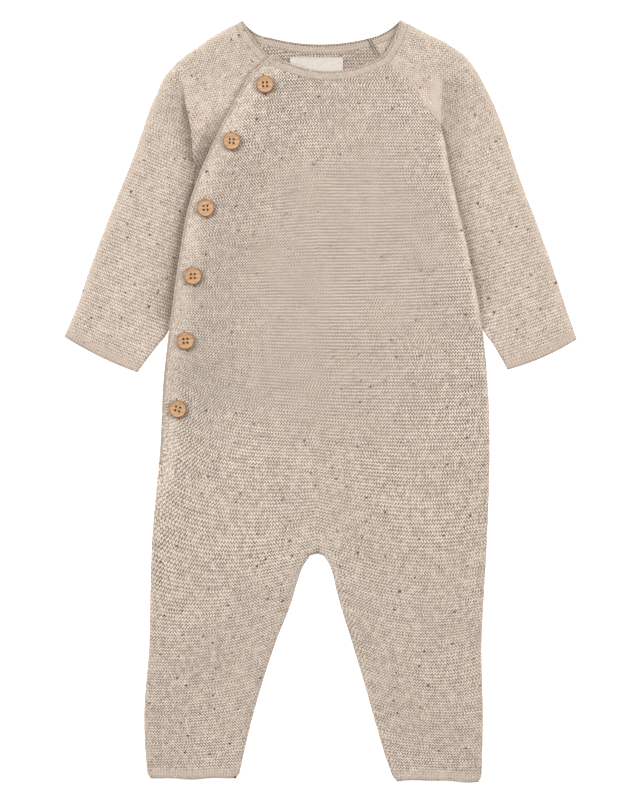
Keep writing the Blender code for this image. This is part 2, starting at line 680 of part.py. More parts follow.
def hole_cutter():
    """Four pins in one mesh, which cut the holes of a button."""
    shape = bmesh.new()
    for x in (-0.5, 0.5):
        for y in (-0.5, 0.5):
            pin = bmesh.ops.create_cone(shape, cap_ends=True, segments=8,
                                        radius1=BUTTON_HOLE_DIAMETER / 2 * MM,
                                        radius2=BUTTON_HOLE_DIAMETER / 2 * MM,
                                        depth=2 * BUTTON_THICKNESS * MM)
            place = (x * BUTTON_HOLE_SPACING * MM, y * BUTTON_HOLE_SPACING * MM, 0)
            bmesh.ops.translate(shape, verts=pin["verts"], vec=place)
    mesh = bpy.data.meshes.new("button_holes")
    shape.to_mesh(mesh)
    shape.free()
    return mesh


def add_buttons(material):
    """Six buttons on the overlap, each with its four holes."""
    disc, pins = button_mesh(material), hole_cutter()
    for number, (x, y, turn) in enumerate(BUTTONS["rows"], start=1):
        button = bpy.data.objects.new(f"button_{number}", disc)
        bpy.context.collection.objects.link(button)
        base = overlap_level(y) + WALL / 2 + BUTTON_CLEARANCE
        button.location = (np.array([x, y, base + BUTTON_THICKNESS / 2]) + FRAME_SHIFT) * MM
        button.rotation_euler.z = math.radians(turn)
        cutter = bpy.data.objects.new(f"button_holes_{number}", pins)
        bpy.context.collection.objects.link(cutter)
        cutter.parent = button
        cutter.hide_render = True
        cutter.display_type = "WIRE"
        cut = button.modifiers.new("holes", "BOOLEAN")
        cut.object = cutter
        cut.solver = "EXACT"


# ======== the whole garment ==============================================================

def build():
    """Clears the scene and makes every piece."""
    for thing in list(bpy.data.objects):
        bpy.data.objects.remove(thing, do_unlink=True)
    knit = add_material(*KNIT_LOOK)
    band = add_material(*BAND_LOOK)
    front_neck = add_panel("front", knit)
    back_neck = add_panel("back", knit)
    right_neck = add_sleeve(RIGHT_SLEEVE, "right", knit)
    left_neck = add_sleeve(LEFT_SLEEVE, "left", knit)
    add_neckband([front_neck, right_neck, back_neck[::-1], left_neck[::-1]], band)
    add_button_stand(band)
    add_binding(band)
    add_label(add_material(*LABEL_LOOK))
    add_buttons(add_material(*WOOD_LOOK))


build()
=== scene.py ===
# %% [markdown]
# # A baby's knitted sleepsuit, laid flat
#
# This lesson dresses a plain solid model of a footless sleepsuit: a wrap front with six wooden
# buttons, two raglan sleeves and a back, knitted in garter stitch from a speckled beige yarn.
# The solids give every place and size. Each cloth piece is worked out again here as a finer
# sheet on the same form, then it gets its yarn, its seams and its stitching.

# %% Load the frame
import math

import bmesh
import bpy
import numpy as np
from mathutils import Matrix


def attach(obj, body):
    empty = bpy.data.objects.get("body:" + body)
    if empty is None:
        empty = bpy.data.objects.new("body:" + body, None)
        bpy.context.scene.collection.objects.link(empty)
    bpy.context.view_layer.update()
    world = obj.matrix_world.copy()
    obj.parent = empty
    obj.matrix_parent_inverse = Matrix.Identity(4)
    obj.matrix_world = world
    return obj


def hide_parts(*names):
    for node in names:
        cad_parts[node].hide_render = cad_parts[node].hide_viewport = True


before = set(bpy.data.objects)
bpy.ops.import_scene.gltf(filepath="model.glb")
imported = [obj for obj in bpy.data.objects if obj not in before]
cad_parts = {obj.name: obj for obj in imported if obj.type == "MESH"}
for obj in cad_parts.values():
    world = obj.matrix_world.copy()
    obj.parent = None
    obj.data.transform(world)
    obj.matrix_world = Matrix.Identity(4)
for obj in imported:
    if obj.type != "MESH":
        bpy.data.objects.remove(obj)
bpy.context.view_layer.update()
scene = bpy.context.scene
MM = 0.001

# %% [markdown]
# ## Sizes of the cloth
#
# Everything is in millimetres until a mesh is made. The garment lies on the plane z = 0 with
# its neck towards +Y. A wall of knitted cloth is about 1.5 mm thick, and the layers lie on
# each other like sheets of felt, so each layer has a level of its own. FAR stands for a distance
# to a seam that is too long to matter. The sleeves count the distance to their seam from
# SLEEVE_SEAM on, so that one number tells the yarn both which seam is near and how near.

# %% Named sizes
TURN = 2 * math.pi
WALL = 1.5
LAYER_PITCH = 2.1
LEVEL = [0.8 + LAYER_PITCH * layer for layer in range(4)]
SIDE_RADIUS, NARROW_RADIUS, CUFF_RADIUS, SHOULDER_RADIUS = 2.1, 1.05, 1.6, 1.8
SIDE_LEVEL = LEVEL[0] + 2 * SIDE_RADIUS
NECK_LIFT = 1.3
SEAM_GAP = 0.04
SHIFT_UP = 0.75
SEAM_END, UNDERARM, OVERLAP_END, CROTCH = 205.0, 53.0, -46.0, -116.0
OUTWARD = {"left": -1, "right": 1}
HEM = {"left": -284.5, "right": -286.5}
CENTRE = -2.5
BINDING_WIDTH, STAND_WIDTH, STAND_INSET, TURNED_UNDER = 2.6, 16.0, 1.5, 5.0
BAND_WIDTH = 7.0
ROW_PITCH, STITCH_PITCH = 2.43, 2.14
FAR, SLEEVE_SEAM, HEM_REACH = 60.0, 20.0, 40.0
HEM_CORNER = 3.0

# %% [markdown]
# ## Outlines as tables
#
# A pattern cutter would draw the outline of each panel. Here each outline is a short table,
# read as a smooth curve. The slope at each of its points is taken from its two neighbours, so
# the curve has no corners.

# %% Tables of the outlines
FRONT_OUTLINE = dict(
    columns=("y", "left", "right"),
    rows=(
        (258, -36.0, 47.0), (252, -43.0, 51.5), (245, -51.0, 60.5), (235, -57.0, 69.0),
        (224, -63.5, 76.5), (210, -71.5, 85.5), (205, -74.0, 89.9), (196, -78.5, 92.4),
        (172, -89.5, 96.9), (146, -98.5, 102.6), (112, -105.0, 110.5), (74, -110.5, 118.0),
        (44, -114.5, 122.5), (13, -118.0, 125.5), (-38, -120.5, 127.0), (-68, -123.5, 126.5),
        (-106, -126.5, 125.0), (-151, -128.0, 122.5), (-181, -128.5, 121.0),
        (-241, -132.5, 122.0), (-286, -130.0, 121.0),
    ),
)
BACK_OUTLINE = dict(
    columns=("y", "left", "right"),
    rows=(
        (266, -42.0, 42.0), (254, -47.0, 46.5), (228, -59.0, 58.0), (198, -73.5, 74.5),
        (164, -88.0, 89.5), (127, -99.5, 103.0), (89, -107.5, 113.5), (53, -113.2, 121.2),
    ) + FRONT_OUTLINE["rows"][12:],
)
INNER_LEGS = dict(
    columns=("y", "left", "right", "rolled"),
    rows=(
        (-116, -2.5, -2.5, 0.0), (-117, -6.5, 1.0, 0.6), (-120, -9.5, 4.0, 1.6),
        (-128, -14.2, 8.0, 3.4), (-136, -17.0, 10.0, 5.0), (-151, -21.3, 13.8, 6.4),
        (-181, -33.0, 23.0, 6.7), (-211, -43.0, 32.0, 5.6), (-241, -51.5, 40.5, 4.6),
        (-271, -58.5, 49.5, 3.6), (-286, -61.0, 55.0, 3.0),
    ),
)

# %% [markdown]
# A sleeve's row runs from the sleeve's front edge to its outer fold, turns under and comes back
# to its back edge. The tuck is how far the front edge lies under the front panel. The bow is how
# far the row's middle lies down the sleeve from a straight line.

# %% Tables of the sleeves
SLEEVE_COLUMNS = ("front_y", "tuck", "outer_x", "outer_y", "back_y", "bow")
SLEEVES = {
    "right": dict(
        columns=SLEEVE_COLUMNS,
        rows=(
            (252.0, 0.0, 66.5, 281.0, 266.0, 2.0), (250.0, 0.0, 79.0, 274.5, 258.0, 1.0),
            (246.0, 0.0, 95.0, 266.5, 247.0, 0.0), (239.0, 0.0, 108.5, 257.0, 234.0, 0.0),
            (228.0, 0.0, 117.5, 245.5, 220.0, 0.0), (216.0, 0.0, 124.0, 233.5, 207.0, 0.0),
            (205.0, 0.6, 130.0, 221.5, 194.0, 0.0), (190.0, 9.0, 137.5, 202.5, 179.0, 0.0),
            (170.0, 12.0, 145.0, 179.5, 160.0, 0.0), (142.0, 12.0, 152.5, 157.5, 137.0, 0.0),
            (112.0, 10.0, 161.5, 134.5, 110.0, 0.0), (80.0, 5.0, 172.0, 105.5, 80.0, 0.0),
            (53.0, -0.4, 181.0, 78.5, 53.0, 0.0), (40.5, -6.8, 186.0, 63.5, 40.5, 0.5),
            (22.0, -15.4, 192.5, 44.5, 22.0, 2.2),
        ),
    ),
    "left": dict(
        columns=SLEEVE_COLUMNS,
        rows=(
            (248.0, 11.0, -65.0, 280.5, 266.0, 3.0), (243.0, 10.0, -79.0, 273.0, 256.0, 1.5),
            (234.0, 9.5, -93.5, 263.0, 244.0, 0.0), (222.0, 9.0, -106.5, 253.5, 231.0, 0.0),
            (209.0, 9.0, -117.5, 241.0, 217.0, 0.0), (196.0, 9.0, -123.5, 228.0, 203.0, 0.0),
            (179.0, 9.0, -128.0, 218.0, 189.0, 0.0), (160.0, 9.0, -134.5, 199.0, 172.0, 0.0),
            (138.0, 9.0, -143.0, 175.5, 151.0, 0.0), (112.0, 8.5, -152.5, 152.0, 124.0, 0.0),
            (80.0, 5.0, -165.5, 119.0, 88.0, 0.0), (53.0, -0.4, -177.5, 85.0, 53.0, 0.0),
            (40.5, -7.0, -182.5, 70.5, 40.5, 0.5), (20.0, -20.0, -192.5, 46.5, 20.0, 1.8),
        ),
    ),
}

# %% [markdown]
# A table's points could be joined by straight lines, but cloth edges have no corners. A cubic
# between each two points, whose slope at a point is taken from both neighbours, gives a curve.

# %% Reading a table
def column(table, name):
    """One named column of a table, as an array."""
    place = table["columns"].index(name)
    return np.array([row[place] for row in table["rows"]], float)


def smooth_curve(knots, values, at):
    """A cubic between each two knots, whose slope at a knot is the mean of its neighbours'."""
    order = np.argsort(knots)
    k, v = np.asarray(knots, float)[order], np.asarray(values, float)[order]
    slope = np.gradient(v, k)
    at = np.clip(np.asarray(at, float), k[0], k[-1])
    i = np.clip(np.searchsorted(k, at) - 1, 0, len(k) - 2)
    step = k[i + 1] - k[i]
    t = (at - k[i]) / step
    start = (1 + 2 * t) * (1 - t) ** 2 * v[i] + t * (1 - t) ** 2 * step * slope[i]
    end = t * t * (3 - 2 * t) * v[i + 1] + t * t * (t - 1) * step * slope[i + 1]
    return start + end


def read(table, name, y):
    """A table's column as a smooth curve, read at the heights y."""
    return smooth_curve(column(table, "y"), column(table, name), y)


def slant(table, name, y):
    """Length of the outline for each millimetre of height: the root of 1 + slope squared."""
    slope = read(table, name, y + 0.5) - read(table, name, y - 0.5)
    return np.sqrt(1 + slope ** 2)


print("front is", round(float(np.ptp(column(FRONT_OUTLINE, "y")))), "mm long")

# %% [markdown]
# ## Folds and levels
#
# Where cloth turns over an edge it runs round half a circle. So a fold needs two formulas: how
# far a point of the cloth lies inside the outline, and how far it has dropped, both from its
# length along the cloth. A soft step, which is 0, then rises in an S, then stays 1, does the
# rest: it lifts the front onto the sleeve and lowers it again.

# %% Fold formulas
def soft_step(value, start, end):
    """0 before start, 1 past end, and 3t^2 - 2t^3 between them; start may exceed end."""
    t = np.clip((value - start) / (end - start), 0, 1)
    return t * t * (3 - 2 * t)


def fold_inset(arc, radius):
    """Plan distance from the fold's line: r(1 - cos(arc / r)), then straight on."""
    turn = np.minimum(np.abs(arc) / radius, math.pi / 2)
    return radius * (1 - np.cos(turn)) + np.maximum(np.abs(arc) - math.pi / 2 * radius, 0)


def fold_drop(arc, radius):
    """Drop below the upper layer: r(1 - sin(arc / r)), 0 on top and 2r underneath."""
    turn = np.minimum(np.abs(arc) / radius, math.pi / 2)
    return radius * (1 - np.sign(arc) * np.sin(turn))


def arc_for_inset(inset, radius):
    """The length along the cloth that lies at a plan distance from the fold's line."""
    turn = np.arccos(1 - np.minimum(inset / radius, 1))
    return radius * turn + np.maximum(inset - radius, 0)


def edge_zone(fold, radius, under, reach, count):
    """Inset and drop of a count of columns beside an edge, up to a reach inside it.

    A fold of 0 is flat, 1 is turned down and 2 is turned right under.
    """
    gap = SEAM_GAP / 2 * np.minimum(fold, 1) * np.maximum(2 - fold, 0)
    end = math.pi / 2 * radius * (1 - fold) + gap - under
    arc = end + (arc_for_inset(reach, radius) - end) * np.linspace(0, 1, count)[None, :]
    outermost = np.where(end > 0, fold_inset(end, radius), 0.0)
    share = np.minimum(fold, 1)
    edge = SEAM_GAP / 2 * (1 - share) + WALL / 2 * share
    return edge + fold_inset(arc, radius) - outermost, fold_drop(arc, radius)

# %% [markdown]
# How high the front lies depends on what is under it. Along the overlap that is three layers
# as far down as the sleeve reaches, and two below. Soft steps join one height to the next.

# %% Levels
def overlap_level(y):
    """Middle of the front's wall along the overlap: over three layers, then over two."""
    return LEVEL[2] + LAYER_PITCH * soft_step(y, 8, 34)


def right_edge_level(y):
    """Middle of the front's wall along its right edge, raised where it lies on the sleeve."""
    seam = LEVEL[1] + NECK_LIFT
    seam_end = seam + (LEVEL[2] + 0.2 - seam) * soft_step(y, SEAM_END + 25, SEAM_END)
    raised = seam_end + (LEVEL[3] - seam_end) * soft_step(y, SEAM_END, SEAM_END - 15)
    return SIDE_LEVEL + (raised - SIDE_LEVEL) * soft_step(y, UNDERARM - 8, UNDERARM + 8)


def closed_side(y):
    """0 where the overlap is open and 1 below it, where the left side is sewn up."""
    return soft_step(y, OVERLAP_END - 1, OVERLAP_END - 11)


def corner_inset(y, side):
    """How far a leg draws in at the two corners of its hem."""
    return HEM_CORNER * soft_step(y - HEM[side], 7, -2) ** 2


def leg_line(y, side):
    """Middle of the wall along a leg's inner edge, half a wall inside the outline."""
    steep = soft_step(y, CROTCH, CROTCH - 8)
    inset = WALL / 2 * steep + corner_inset(y, side)
    return np.stack([read(INNER_LEGS, side, y) + OUTWARD[side] * inset,
                     y + WALL / 2 * (1 - steep)], axis=-1)

# %% [markdown]
# The inner leg seam is a path of short straight pieces. Every point of the panels asks how far
# away it is, for the cloth turns down along it.

# %% Distance to a path
def distance_to(path, x, y):
    """Shortest plan distance to a path of straight pieces, and the place along it, 0 to 1."""
    start, run = path[:-1], np.diff(path, axis=0)
    span = (run ** 2).sum(axis=1)
    dx, dy = x[..., None] - start[:, 0], y[..., None] - start[:, 1]
    t = np.clip((dx * run[:, 0] + dy * run[:, 1]) / span, 0, 1)
    gaps = np.hypot(dx - t * run[:, 0], dy - t * run[:, 1])
    nearest = gaps.argmin(axis=-1)[..., None]
    place = (nearest + np.take_along_axis(t, nearest, -1)) / len(run)
    return np.take_along_axis(gaps, nearest, -1)[..., 0], place[..., 0]


inner_heights = CROTCH + (HEM["right"] - CROTCH) * np.linspace(0, 1, 60) ** 2
INNER_LINE = np.vstack([leg_line(inner_heights, "left")[::-1], leg_line(inner_heights, "right")[1:]])
print("inner leg seam:", round(float(np.hypot(*np.diff(INNER_LINE, axis=0).T).sum())), "mm")

# %% [markdown]
# ## Soft troughs
#
# Worn cloth never lies quite flat. Long shallow troughs run down from the shoulder and meet at
# the crotch, and short ones lie across the sleeves. They could be simulated, but cloth laid out
# by hand is better drawn one by one: each trough is a path with its own width and depth, sunk
# with a bell curve. Positive depths are ridges.

# %% Troughs and ridges
TROUGHS = {
    "front": (
        (((66, 130), (58, 60), (48, -15), (38, -84)), 11, -0.55),
        (((22, -40), (26, -84), (28, -126)), 8, -0.5),
        (((-14, -60), (-20, -96), (-34, -150)), 9, -0.35),
        (((-84, -30), (-70, -52), (-48, -62)), 7, -0.35),
        (((96, 40), (104, 0), (100, -60)), 10, 0.35),
        (((-62, 110), (-50, 40), (-58, -20)), 13, -0.3),
        (((30, 190), (10, 150), (4, 96)), 14, -0.3),
        (((-96, -190), (-84, -232), (-92, -262)), 10, -0.4),
        (((88, -170), (78, -214), (90, -258)), 10, -0.45),
        (((-118, -250), (-90, -246), (-70, -254)), 6, 0.3),
        (((64, -246), (92, -240), (114, -248)), 6, 0.3),
    ),
    "back": (
        (((-60, 150), (-48, 60), (-40, -20)), 12, 0.4),
        (((50, 170), (44, 90), (60, 10)), 11, 0.4),
        (((-16, -70), (-30, -110), (-60, -160)), 9, 0.35),
        (((20, -60), (34, -110), (66, -170)), 9, 0.35),
        (((-90, -200), (-86, -250)), 9, 0.3),
    ),
    "right": (
        (((100, 206), (106, 176), (112, 140), (118, 100)), 7, -0.6),
        (((126, 214), (136, 176), (146, 140), (158, 100)), 12, 0.9),
        (((126, 60), (150, 72), (176, 92)), 6, 0.35),
        (((140, 44), (160, 50), (184, 62)), 5, -0.3),
    ),
    "left": (
        (((-126, 222), (-134, 190), (-146, 150), (-160, 112)), 12, 1.3),
        (((-108, 228), (-104, 200), (-103, 172)), 5, -0.5),
        (((-120, 84), (-140, 92), (-166, 108)), 7, 0.35),
        (((-132, 44), (-156, 54), (-180, 66)), 5, -0.3),
    ),
}


def sink(piece, x, y):
    """Sum over a piece's paths of depth times exp(-(distance / width)^2), faded at their ends."""
    total = np.zeros_like(x)
    for path, width, depth in TROUGHS[piece]:
        gap, place = distance_to(np.array(path, float), x, y)
        total += depth * np.exp(-(gap / width) ** 2) * np.sin(np.pi * np.clip(place, 0.08, 0.92))
    return total


# %% [markdown]
# ## From a grid of points to a cloth piece
#
# A sheet is a grid: rows run across the cloth and columns run down it. The grid's points go
# into a mesh with one call, and UV maps carry what the yarn needs. The map named fabric gives
# millimetres along a knitted row and up the rows. The four large panels have three more: marks
# gives the distance to a hem and to a seam, look says how calm the stitches are, how pale the
# cloth is and how much shade is painted on it, and sway says how far the stitches swing from
# side to side. Solidify then gives the sheet its wall, and Bevel rounds the rim.

# %% Mesh helpers
def grid_quads(grid, first=0):
    """Quads between neighbouring rows and columns of a grid of points, numbered from first."""
    index = first + np.arange(grid.shape[0] * grid.shape[1]).reshape(grid.shape[:2])
    return np.stack([index[1:, :-1], index[1:, 1:], index[:-1, 1:], index[:-1, :-1]],
                    axis=-1).reshape(-1, 4)


def new_object(name, data):
    """An object at the origin, linked to the scene."""
    thing = bpy.data.objects.new(name, data)
    bpy.context.collection.objects.link(thing)
    return thing


def make_mesh(name, points, quads, maps, weld=False):
    """A mesh object from points in millimetres, quads, and UV values for each point."""
    mesh = bpy.data.meshes.new(name)
    mesh.from_pydata(((points + (0, SHIFT_UP, 0)) * MM).tolist(), [], quads.tolist())
    for map_name, values in maps.items():
        layer = mesh.uv_layers.new(name=map_name)
        layer.data.foreach_set("uv", values[quads].astype(np.float32).ravel())
    mesh.shade_smooth()
    piece = new_object(name, mesh)
    if weld:
        shape = bmesh.new()
        shape.from_mesh(mesh)
        bmesh.ops.remove_doubles(shape, verts=shape.verts, dist=0.01 * MM)
        shape.to_mesh(mesh)
        shape.free()
    return piece

# %% [markdown]
# Nearly every piece is one grid, so a second helper does all the steps. The wall is left to
# Solidify, because it keeps the same thickness round a fold, which a copy moved down would not.

# %% One grid, one piece
def grid_mesh(name, grid, maps, flip=False, weld=False):
    """A mesh object from a grid of points and its maps; flip turns its faces over."""
    quads = grid_quads(grid)[:, ::-1] if flip else grid_quads(grid)
    lists = {key: values.reshape(-1, 2) for key, values in maps.items()}
    return make_mesh(name, grid.reshape(-1, 3), quads, lists, weld)


def stacked(*grids):
    """Grids of numbers as one grid of pairs or points; each may be a single row or column."""
    return np.stack(np.broadcast_arrays(*grids), axis=-1)


def add_wall(piece, wall=WALL, bevel=0.45):
    """Solidify both ways from the sheet, then a rounded rim."""
    solid = piece.modifiers.new("wall", "SOLIDIFY")
    solid.thickness, solid.offset = wall * MM, 0
    rim = piece.modifiers.new("rim", "BEVEL")
    rim.width, rim.segments = bevel * MM, 2
    rim.limit_method, rim.angle_limit = "ANGLE", math.radians(58)


print("a wall is", WALL, "mm thick")


def row_lengths(across, z):
    """Length along each row of a grid, summed from its first column: root of dx^2 + dz^2."""
    steps = np.hypot(np.diff(across, axis=1), np.diff(z, axis=1))
    return np.hstack([np.zeros((len(across), 1)), np.cumsum(steps, axis=1)])


# %% [markdown]
# ## Which way the knitted rows run
#
# On a real suit the rows are level across the chest, dip towards the wrap edge, climb towards
# the sides and fall in an arc on each leg, because the cloth is pulled into shape. Each half of
# a panel is described by how steep its rows are beside the middle, how fast that changes
# outwards, and how much they climb beside the wrap edge.

# %% Lie of the rows
ROW_LIE = dict(
    columns=("y", "left", "left_turn", "climb", "right", "right_turn"),
    rows=(
        (262, 0.04, -0.0010, 0.00, 0.00, 0.0004), (195, 0.06, -0.0018, 0.00, 0.02, 0.0000),
        (130, 0.05, -0.0014, 0.00, 0.01, 0.0006), (75, 0.00, -0.0003, 0.05, 0.00, 0.0004),
        (35, -0.02, 0.0000, 0.40, 0.02, 0.0003), (0, -0.04, 0.0000, 1.00, 0.04, 0.0006),
        (-25, -0.02, 0.0002, 1.10, 0.10, 0.0012), (-60, 0.05, 0.0010, 0.85, 0.18, 0.0022),
        (-82, 0.12, 0.0023, 0.50, 0.26, 0.0032), (-101, 0.21, 0.0036, 0.25, 0.34, 0.0042),
        (-121, 0.32, 0.0050, 0.12, 0.42, 0.0054), (-160, 0.43, 0.0061, 0.06, 0.50, 0.0074),
        (-180, 0.42, 0.0055, 0.04, 0.50, 0.0088), (-218, 0.33, 0.0046, 0.02, 0.48, 0.0088),
        (-258, 0.18, 0.0026, 0.00, 0.26, 0.0050), (-287, 0.04, 0.0008, 0.00, 0.04, 0.0010),
    ),
)
ROW_MIDDLE = dict(
    columns=("y", "left", "right"),
    rows=((262, -2.5, -2.5), (-90, -2.5, -2.5), (-105, -3.5, -1.5), (-125, -9.0, 4.0),
          (-150, -21.0, 13.5), (-181, -33.0, 23.0), (-241, -51.5, 40.5), (-286, -61.0, 55.0)),
)


def rise(side, x, y, outer):
    """How far a row lies above its place at the middle: p d - q d^2 / 2 on each half,
    and a climb beside the wrap edge that dies out as exp(-distance / 26)."""
    d = (x - read(ROW_MIDDLE, side, y)) * OUTWARD[side]
    lie = read(ROW_LIE, side, y) * d - read(ROW_LIE, side + "_turn", y) * d ** 2 / 2
    if side == "left":
        reach, fade = np.maximum(x - outer, 0), 26.0
        lie -= read(ROW_LIE, "climb", y) * fade * (np.exp(-reach / fade) - np.exp(-d.max() / fade))
    return -lie


# %% [markdown]
# ## The two body panels
#
# Front and back are knitted in one piece from the neck to the hems. Each is made here as two
# halves, a left and a right one, that share the line down the middle as far as the crotch and
# part into legs below it. Every row of a half runs from the side edge to the middle or to the
# inner leg edge. The side edge turns down to meet the other panel, and the front's right edge
# turns right under, where it lies on the sleeve.

# %% Edges of a panel
TOP = {"front": 252.0, "back": 266.0}
NECK_SAG = {"front": (13.0, 28.0), "back": (6.5, 20.0)}


def side_edge(panel, side, y):
    """Outline, fold, radius and length turned under of a side edge, at the heights y."""
    table = FRONT_OUTLINE if panel == "front" else BACK_OUTLINE
    line = read(table, side, y) - corner_inset(y, side) * OUTWARD[side]
    sewn = soft_step(y, UNDERARM, UNDERARM - 9)
    if panel == "back":
        half_stack = (overlap_level(y) - LAYER_PITCH - LEVEL[0]) / 2
        stack = half_stack + (SIDE_RADIUS - half_stack) * closed_side(y + 3)
        return line, sewn, stack if side == "left" else np.full_like(y, SIDE_RADIUS), 0 * y
    if side == "left":
        inset = BINDING_WIDTH * 0.7 * slant(table, "left", y) * (1 - closed_side(y))
        return line + inset, closed_side(y), np.full_like(y, SIDE_RADIUS), 0 * y
    turned = soft_step(y, SEAM_END, SEAM_END - 15)
    side_part = soft_step(y, UNDERARM + 22, UNDERARM + 6)
    radius = NARROW_RADIUS + (SIDE_RADIUS - NARROW_RADIUS) * soft_step(
        y, UNDERARM + 8, UNDERARM - 8)
    under = soft_step(y, SEAM_END - 15, SEAM_END - 35) * soft_step(y, UNDERARM + 22, UNDERARM + 40)
    return line, 2 * turned - side_part, radius, TURNED_UNDER * under


def crotch_drop(distance):
    """How far the front turns down, or the back up, beside an inner leg edge: a quarter circle."""
    inset = np.clip(distance, 0.01, SIDE_RADIUS)
    return SIDE_RADIUS * (1 - np.sqrt(1 - (1 - inset / SIDE_RADIUS) ** 2))


def front_level(y, from_left, from_right, from_neck, from_legs):
    """Middle of the front's wall: level 1, raised at the neck, the sides and the overlap."""
    level = LEVEL[1] + NECK_LIFT * soft_step(from_neck, 30, 8)
    right_flat = 6 + 10 * soft_step(y, UNDERARM, UNDERARM + 30)
    level = level + (right_edge_level(y) - level) * soft_step(
        from_right, right_flat + 32, right_flat)
    left_flat = 19 - 14 * closed_side(y + 3)
    level = level + (overlap_level(y) - level) * soft_step(from_left, left_flat + 38, left_flat - 4)
    return level + (SIDE_LEVEL - level) * soft_step(from_legs, 24, 5)

# %% [markdown]
# The rows of a half could be level all the way, but the legs spread apart. Below the crotch the
# rows fan out instead: their inner ends follow the leg seam and bunch up towards it.

# %% Rows of half a panel
def hem_wave(x):
    """A hem is never straight: two slow waves, 0.6 sin(x / 11) + 0.35 sin(x / 4.7)."""
    return 0.6 * np.sin(x / 11 + 1.0) + 0.35 * np.sin(x / 4.7)


def row_ends(panel, side, spacing):
    """Heights of the rows at the side edge, and their inner ends in plan.

    Above the crotch the rows are level. Below it the inner ends bunch up, as t^1.8, and the
    side ends a little less, so rows fan round the crotch.
    """
    top = TOP[panel]
    body = np.linspace(top, CROTCH + WALL / 2, int((top - CROTCH) / spacing))
    t = np.linspace(0, 1, int((CROTCH - HEM[side]) / spacing) + 6)[1:]
    leg_in, leg_out = (CROTCH + (HEM[side] - CROTCH) * t ** power for power in (1.8, 1.35))
    inner = np.vstack([np.column_stack([np.full_like(body, CENTRE), body]), leg_line(leg_in, side)])
    return np.concatenate([body, leg_out]), inner


def inner_edge(panel, side, outer_y, inner_y):
    """Inset and drop of the twelve columns at the middle, or beside the inner leg's edge.

    On the right leg the back's edge rolls over to the front, and the front's edge meets it.
    """
    rolled = read(INNER_LEGS, "rolled", inner_y)[:, None] if side == "right" else 0 * outer_y
    rolled = np.where(outer_y > CROTCH, 0, rolled)
    near = arc_for_inset(rolled, SIDE_RADIUS) * (1 if panel == "front" else -1) + SEAM_GAP / 2
    far = arc_for_inset(5.0 + rolled * (panel == "front"), SIDE_RADIUS)
    arc = far + (near - far) * np.linspace(0, 1, 12)[None, :]
    gathered = soft_step(outer_y, CROTCH + 60, CROTCH)
    level_inset = np.linspace(16 - 10 * gathered[:, 0], 0, 12).T
    on_leg = outer_y < CROTCH
    return (np.where(on_leg, fold_inset(arc, SIDE_RADIUS), level_inset),
            np.where(on_leg, fold_drop(arc, SIDE_RADIUS), 0))

# %% [markdown]
# Knitted cloth looks different where it is pulled or folded. It is calmer on a fold and beside
# the wrap, and a little paler there and on the chest. Shade is painted inside the back neck and
# along the rounded edges, and the front's legs are a little darker. Each point gets numbers for
# that, which the yarn's material reads later.

# %% Where the knit is calm, pale or has painted shade
def half_look(panel, x, y, left, right, leg_edge):
    """The maps look and sway of half a panel: where the knit is calm, pale or has painted shade."""
    calm = 0.22 * soft_step(y, -10, -80) - 0.15 * soft_step(y, -60, 10)
    tone, sway = np.zeros_like(x), np.zeros_like(x)
    if panel == "front":
        from_wrap = (x - left) / slant(FRONT_OUTLINE, "left", y)
        beside = soft_step(from_wrap, 17, 6) * soft_step(y, OVERLAP_END - 40, OVERLAP_END)
        on_fold = (soft_step(right - x, 7, 2) * soft_step(y, SEAM_END, SEAM_END - 15)
                   * soft_step(y, UNDERARM - 10, UNDERARM + 10))
        calm = calm + 0.8 * on_fold + 0.45 * beside
        tone = 0.3 * beside - 0.02 * on_fold - 0.12 * soft_step(y, -20, -80)
        tone = tone + 0.15 * soft_step(y, -60, 10) * soft_step(from_wrap, 30, 70) * (1 - on_fold)
        near_wrap = soft_step(from_wrap, 70, 30) * soft_step(y, OVERLAP_END - 60, OVERLAP_END)
        sway = 0.040 * np.maximum(near_wrap, soft_step(y, 170, 225))
    else:
        # Painted shade inside the back neck, which lies low under the front.
        tone = tone - 0.5 * soft_step(y, 232, 250)
    # Painted shade along the rounded side folds and inner leg edges.
    at_edge = soft_step(leg_edge, 5.0, 3.0) * soft_step(y, UNDERARM - 10, UNDERARM - 30)
    calm, tone = calm + (0.4 - calm) * at_edge, tone - 0.22 * at_edge
    return stacked(calm, tone), stacked(sway, 0.0)

# %% [markdown]
# Now the grid itself. The columns are close together on the folds at both ends and evenly spaced
# between them. Each point gets its height from the levels, less the turn at the edges, plus the
# troughs. The neck edge sags in the middle, more in front than at the back.

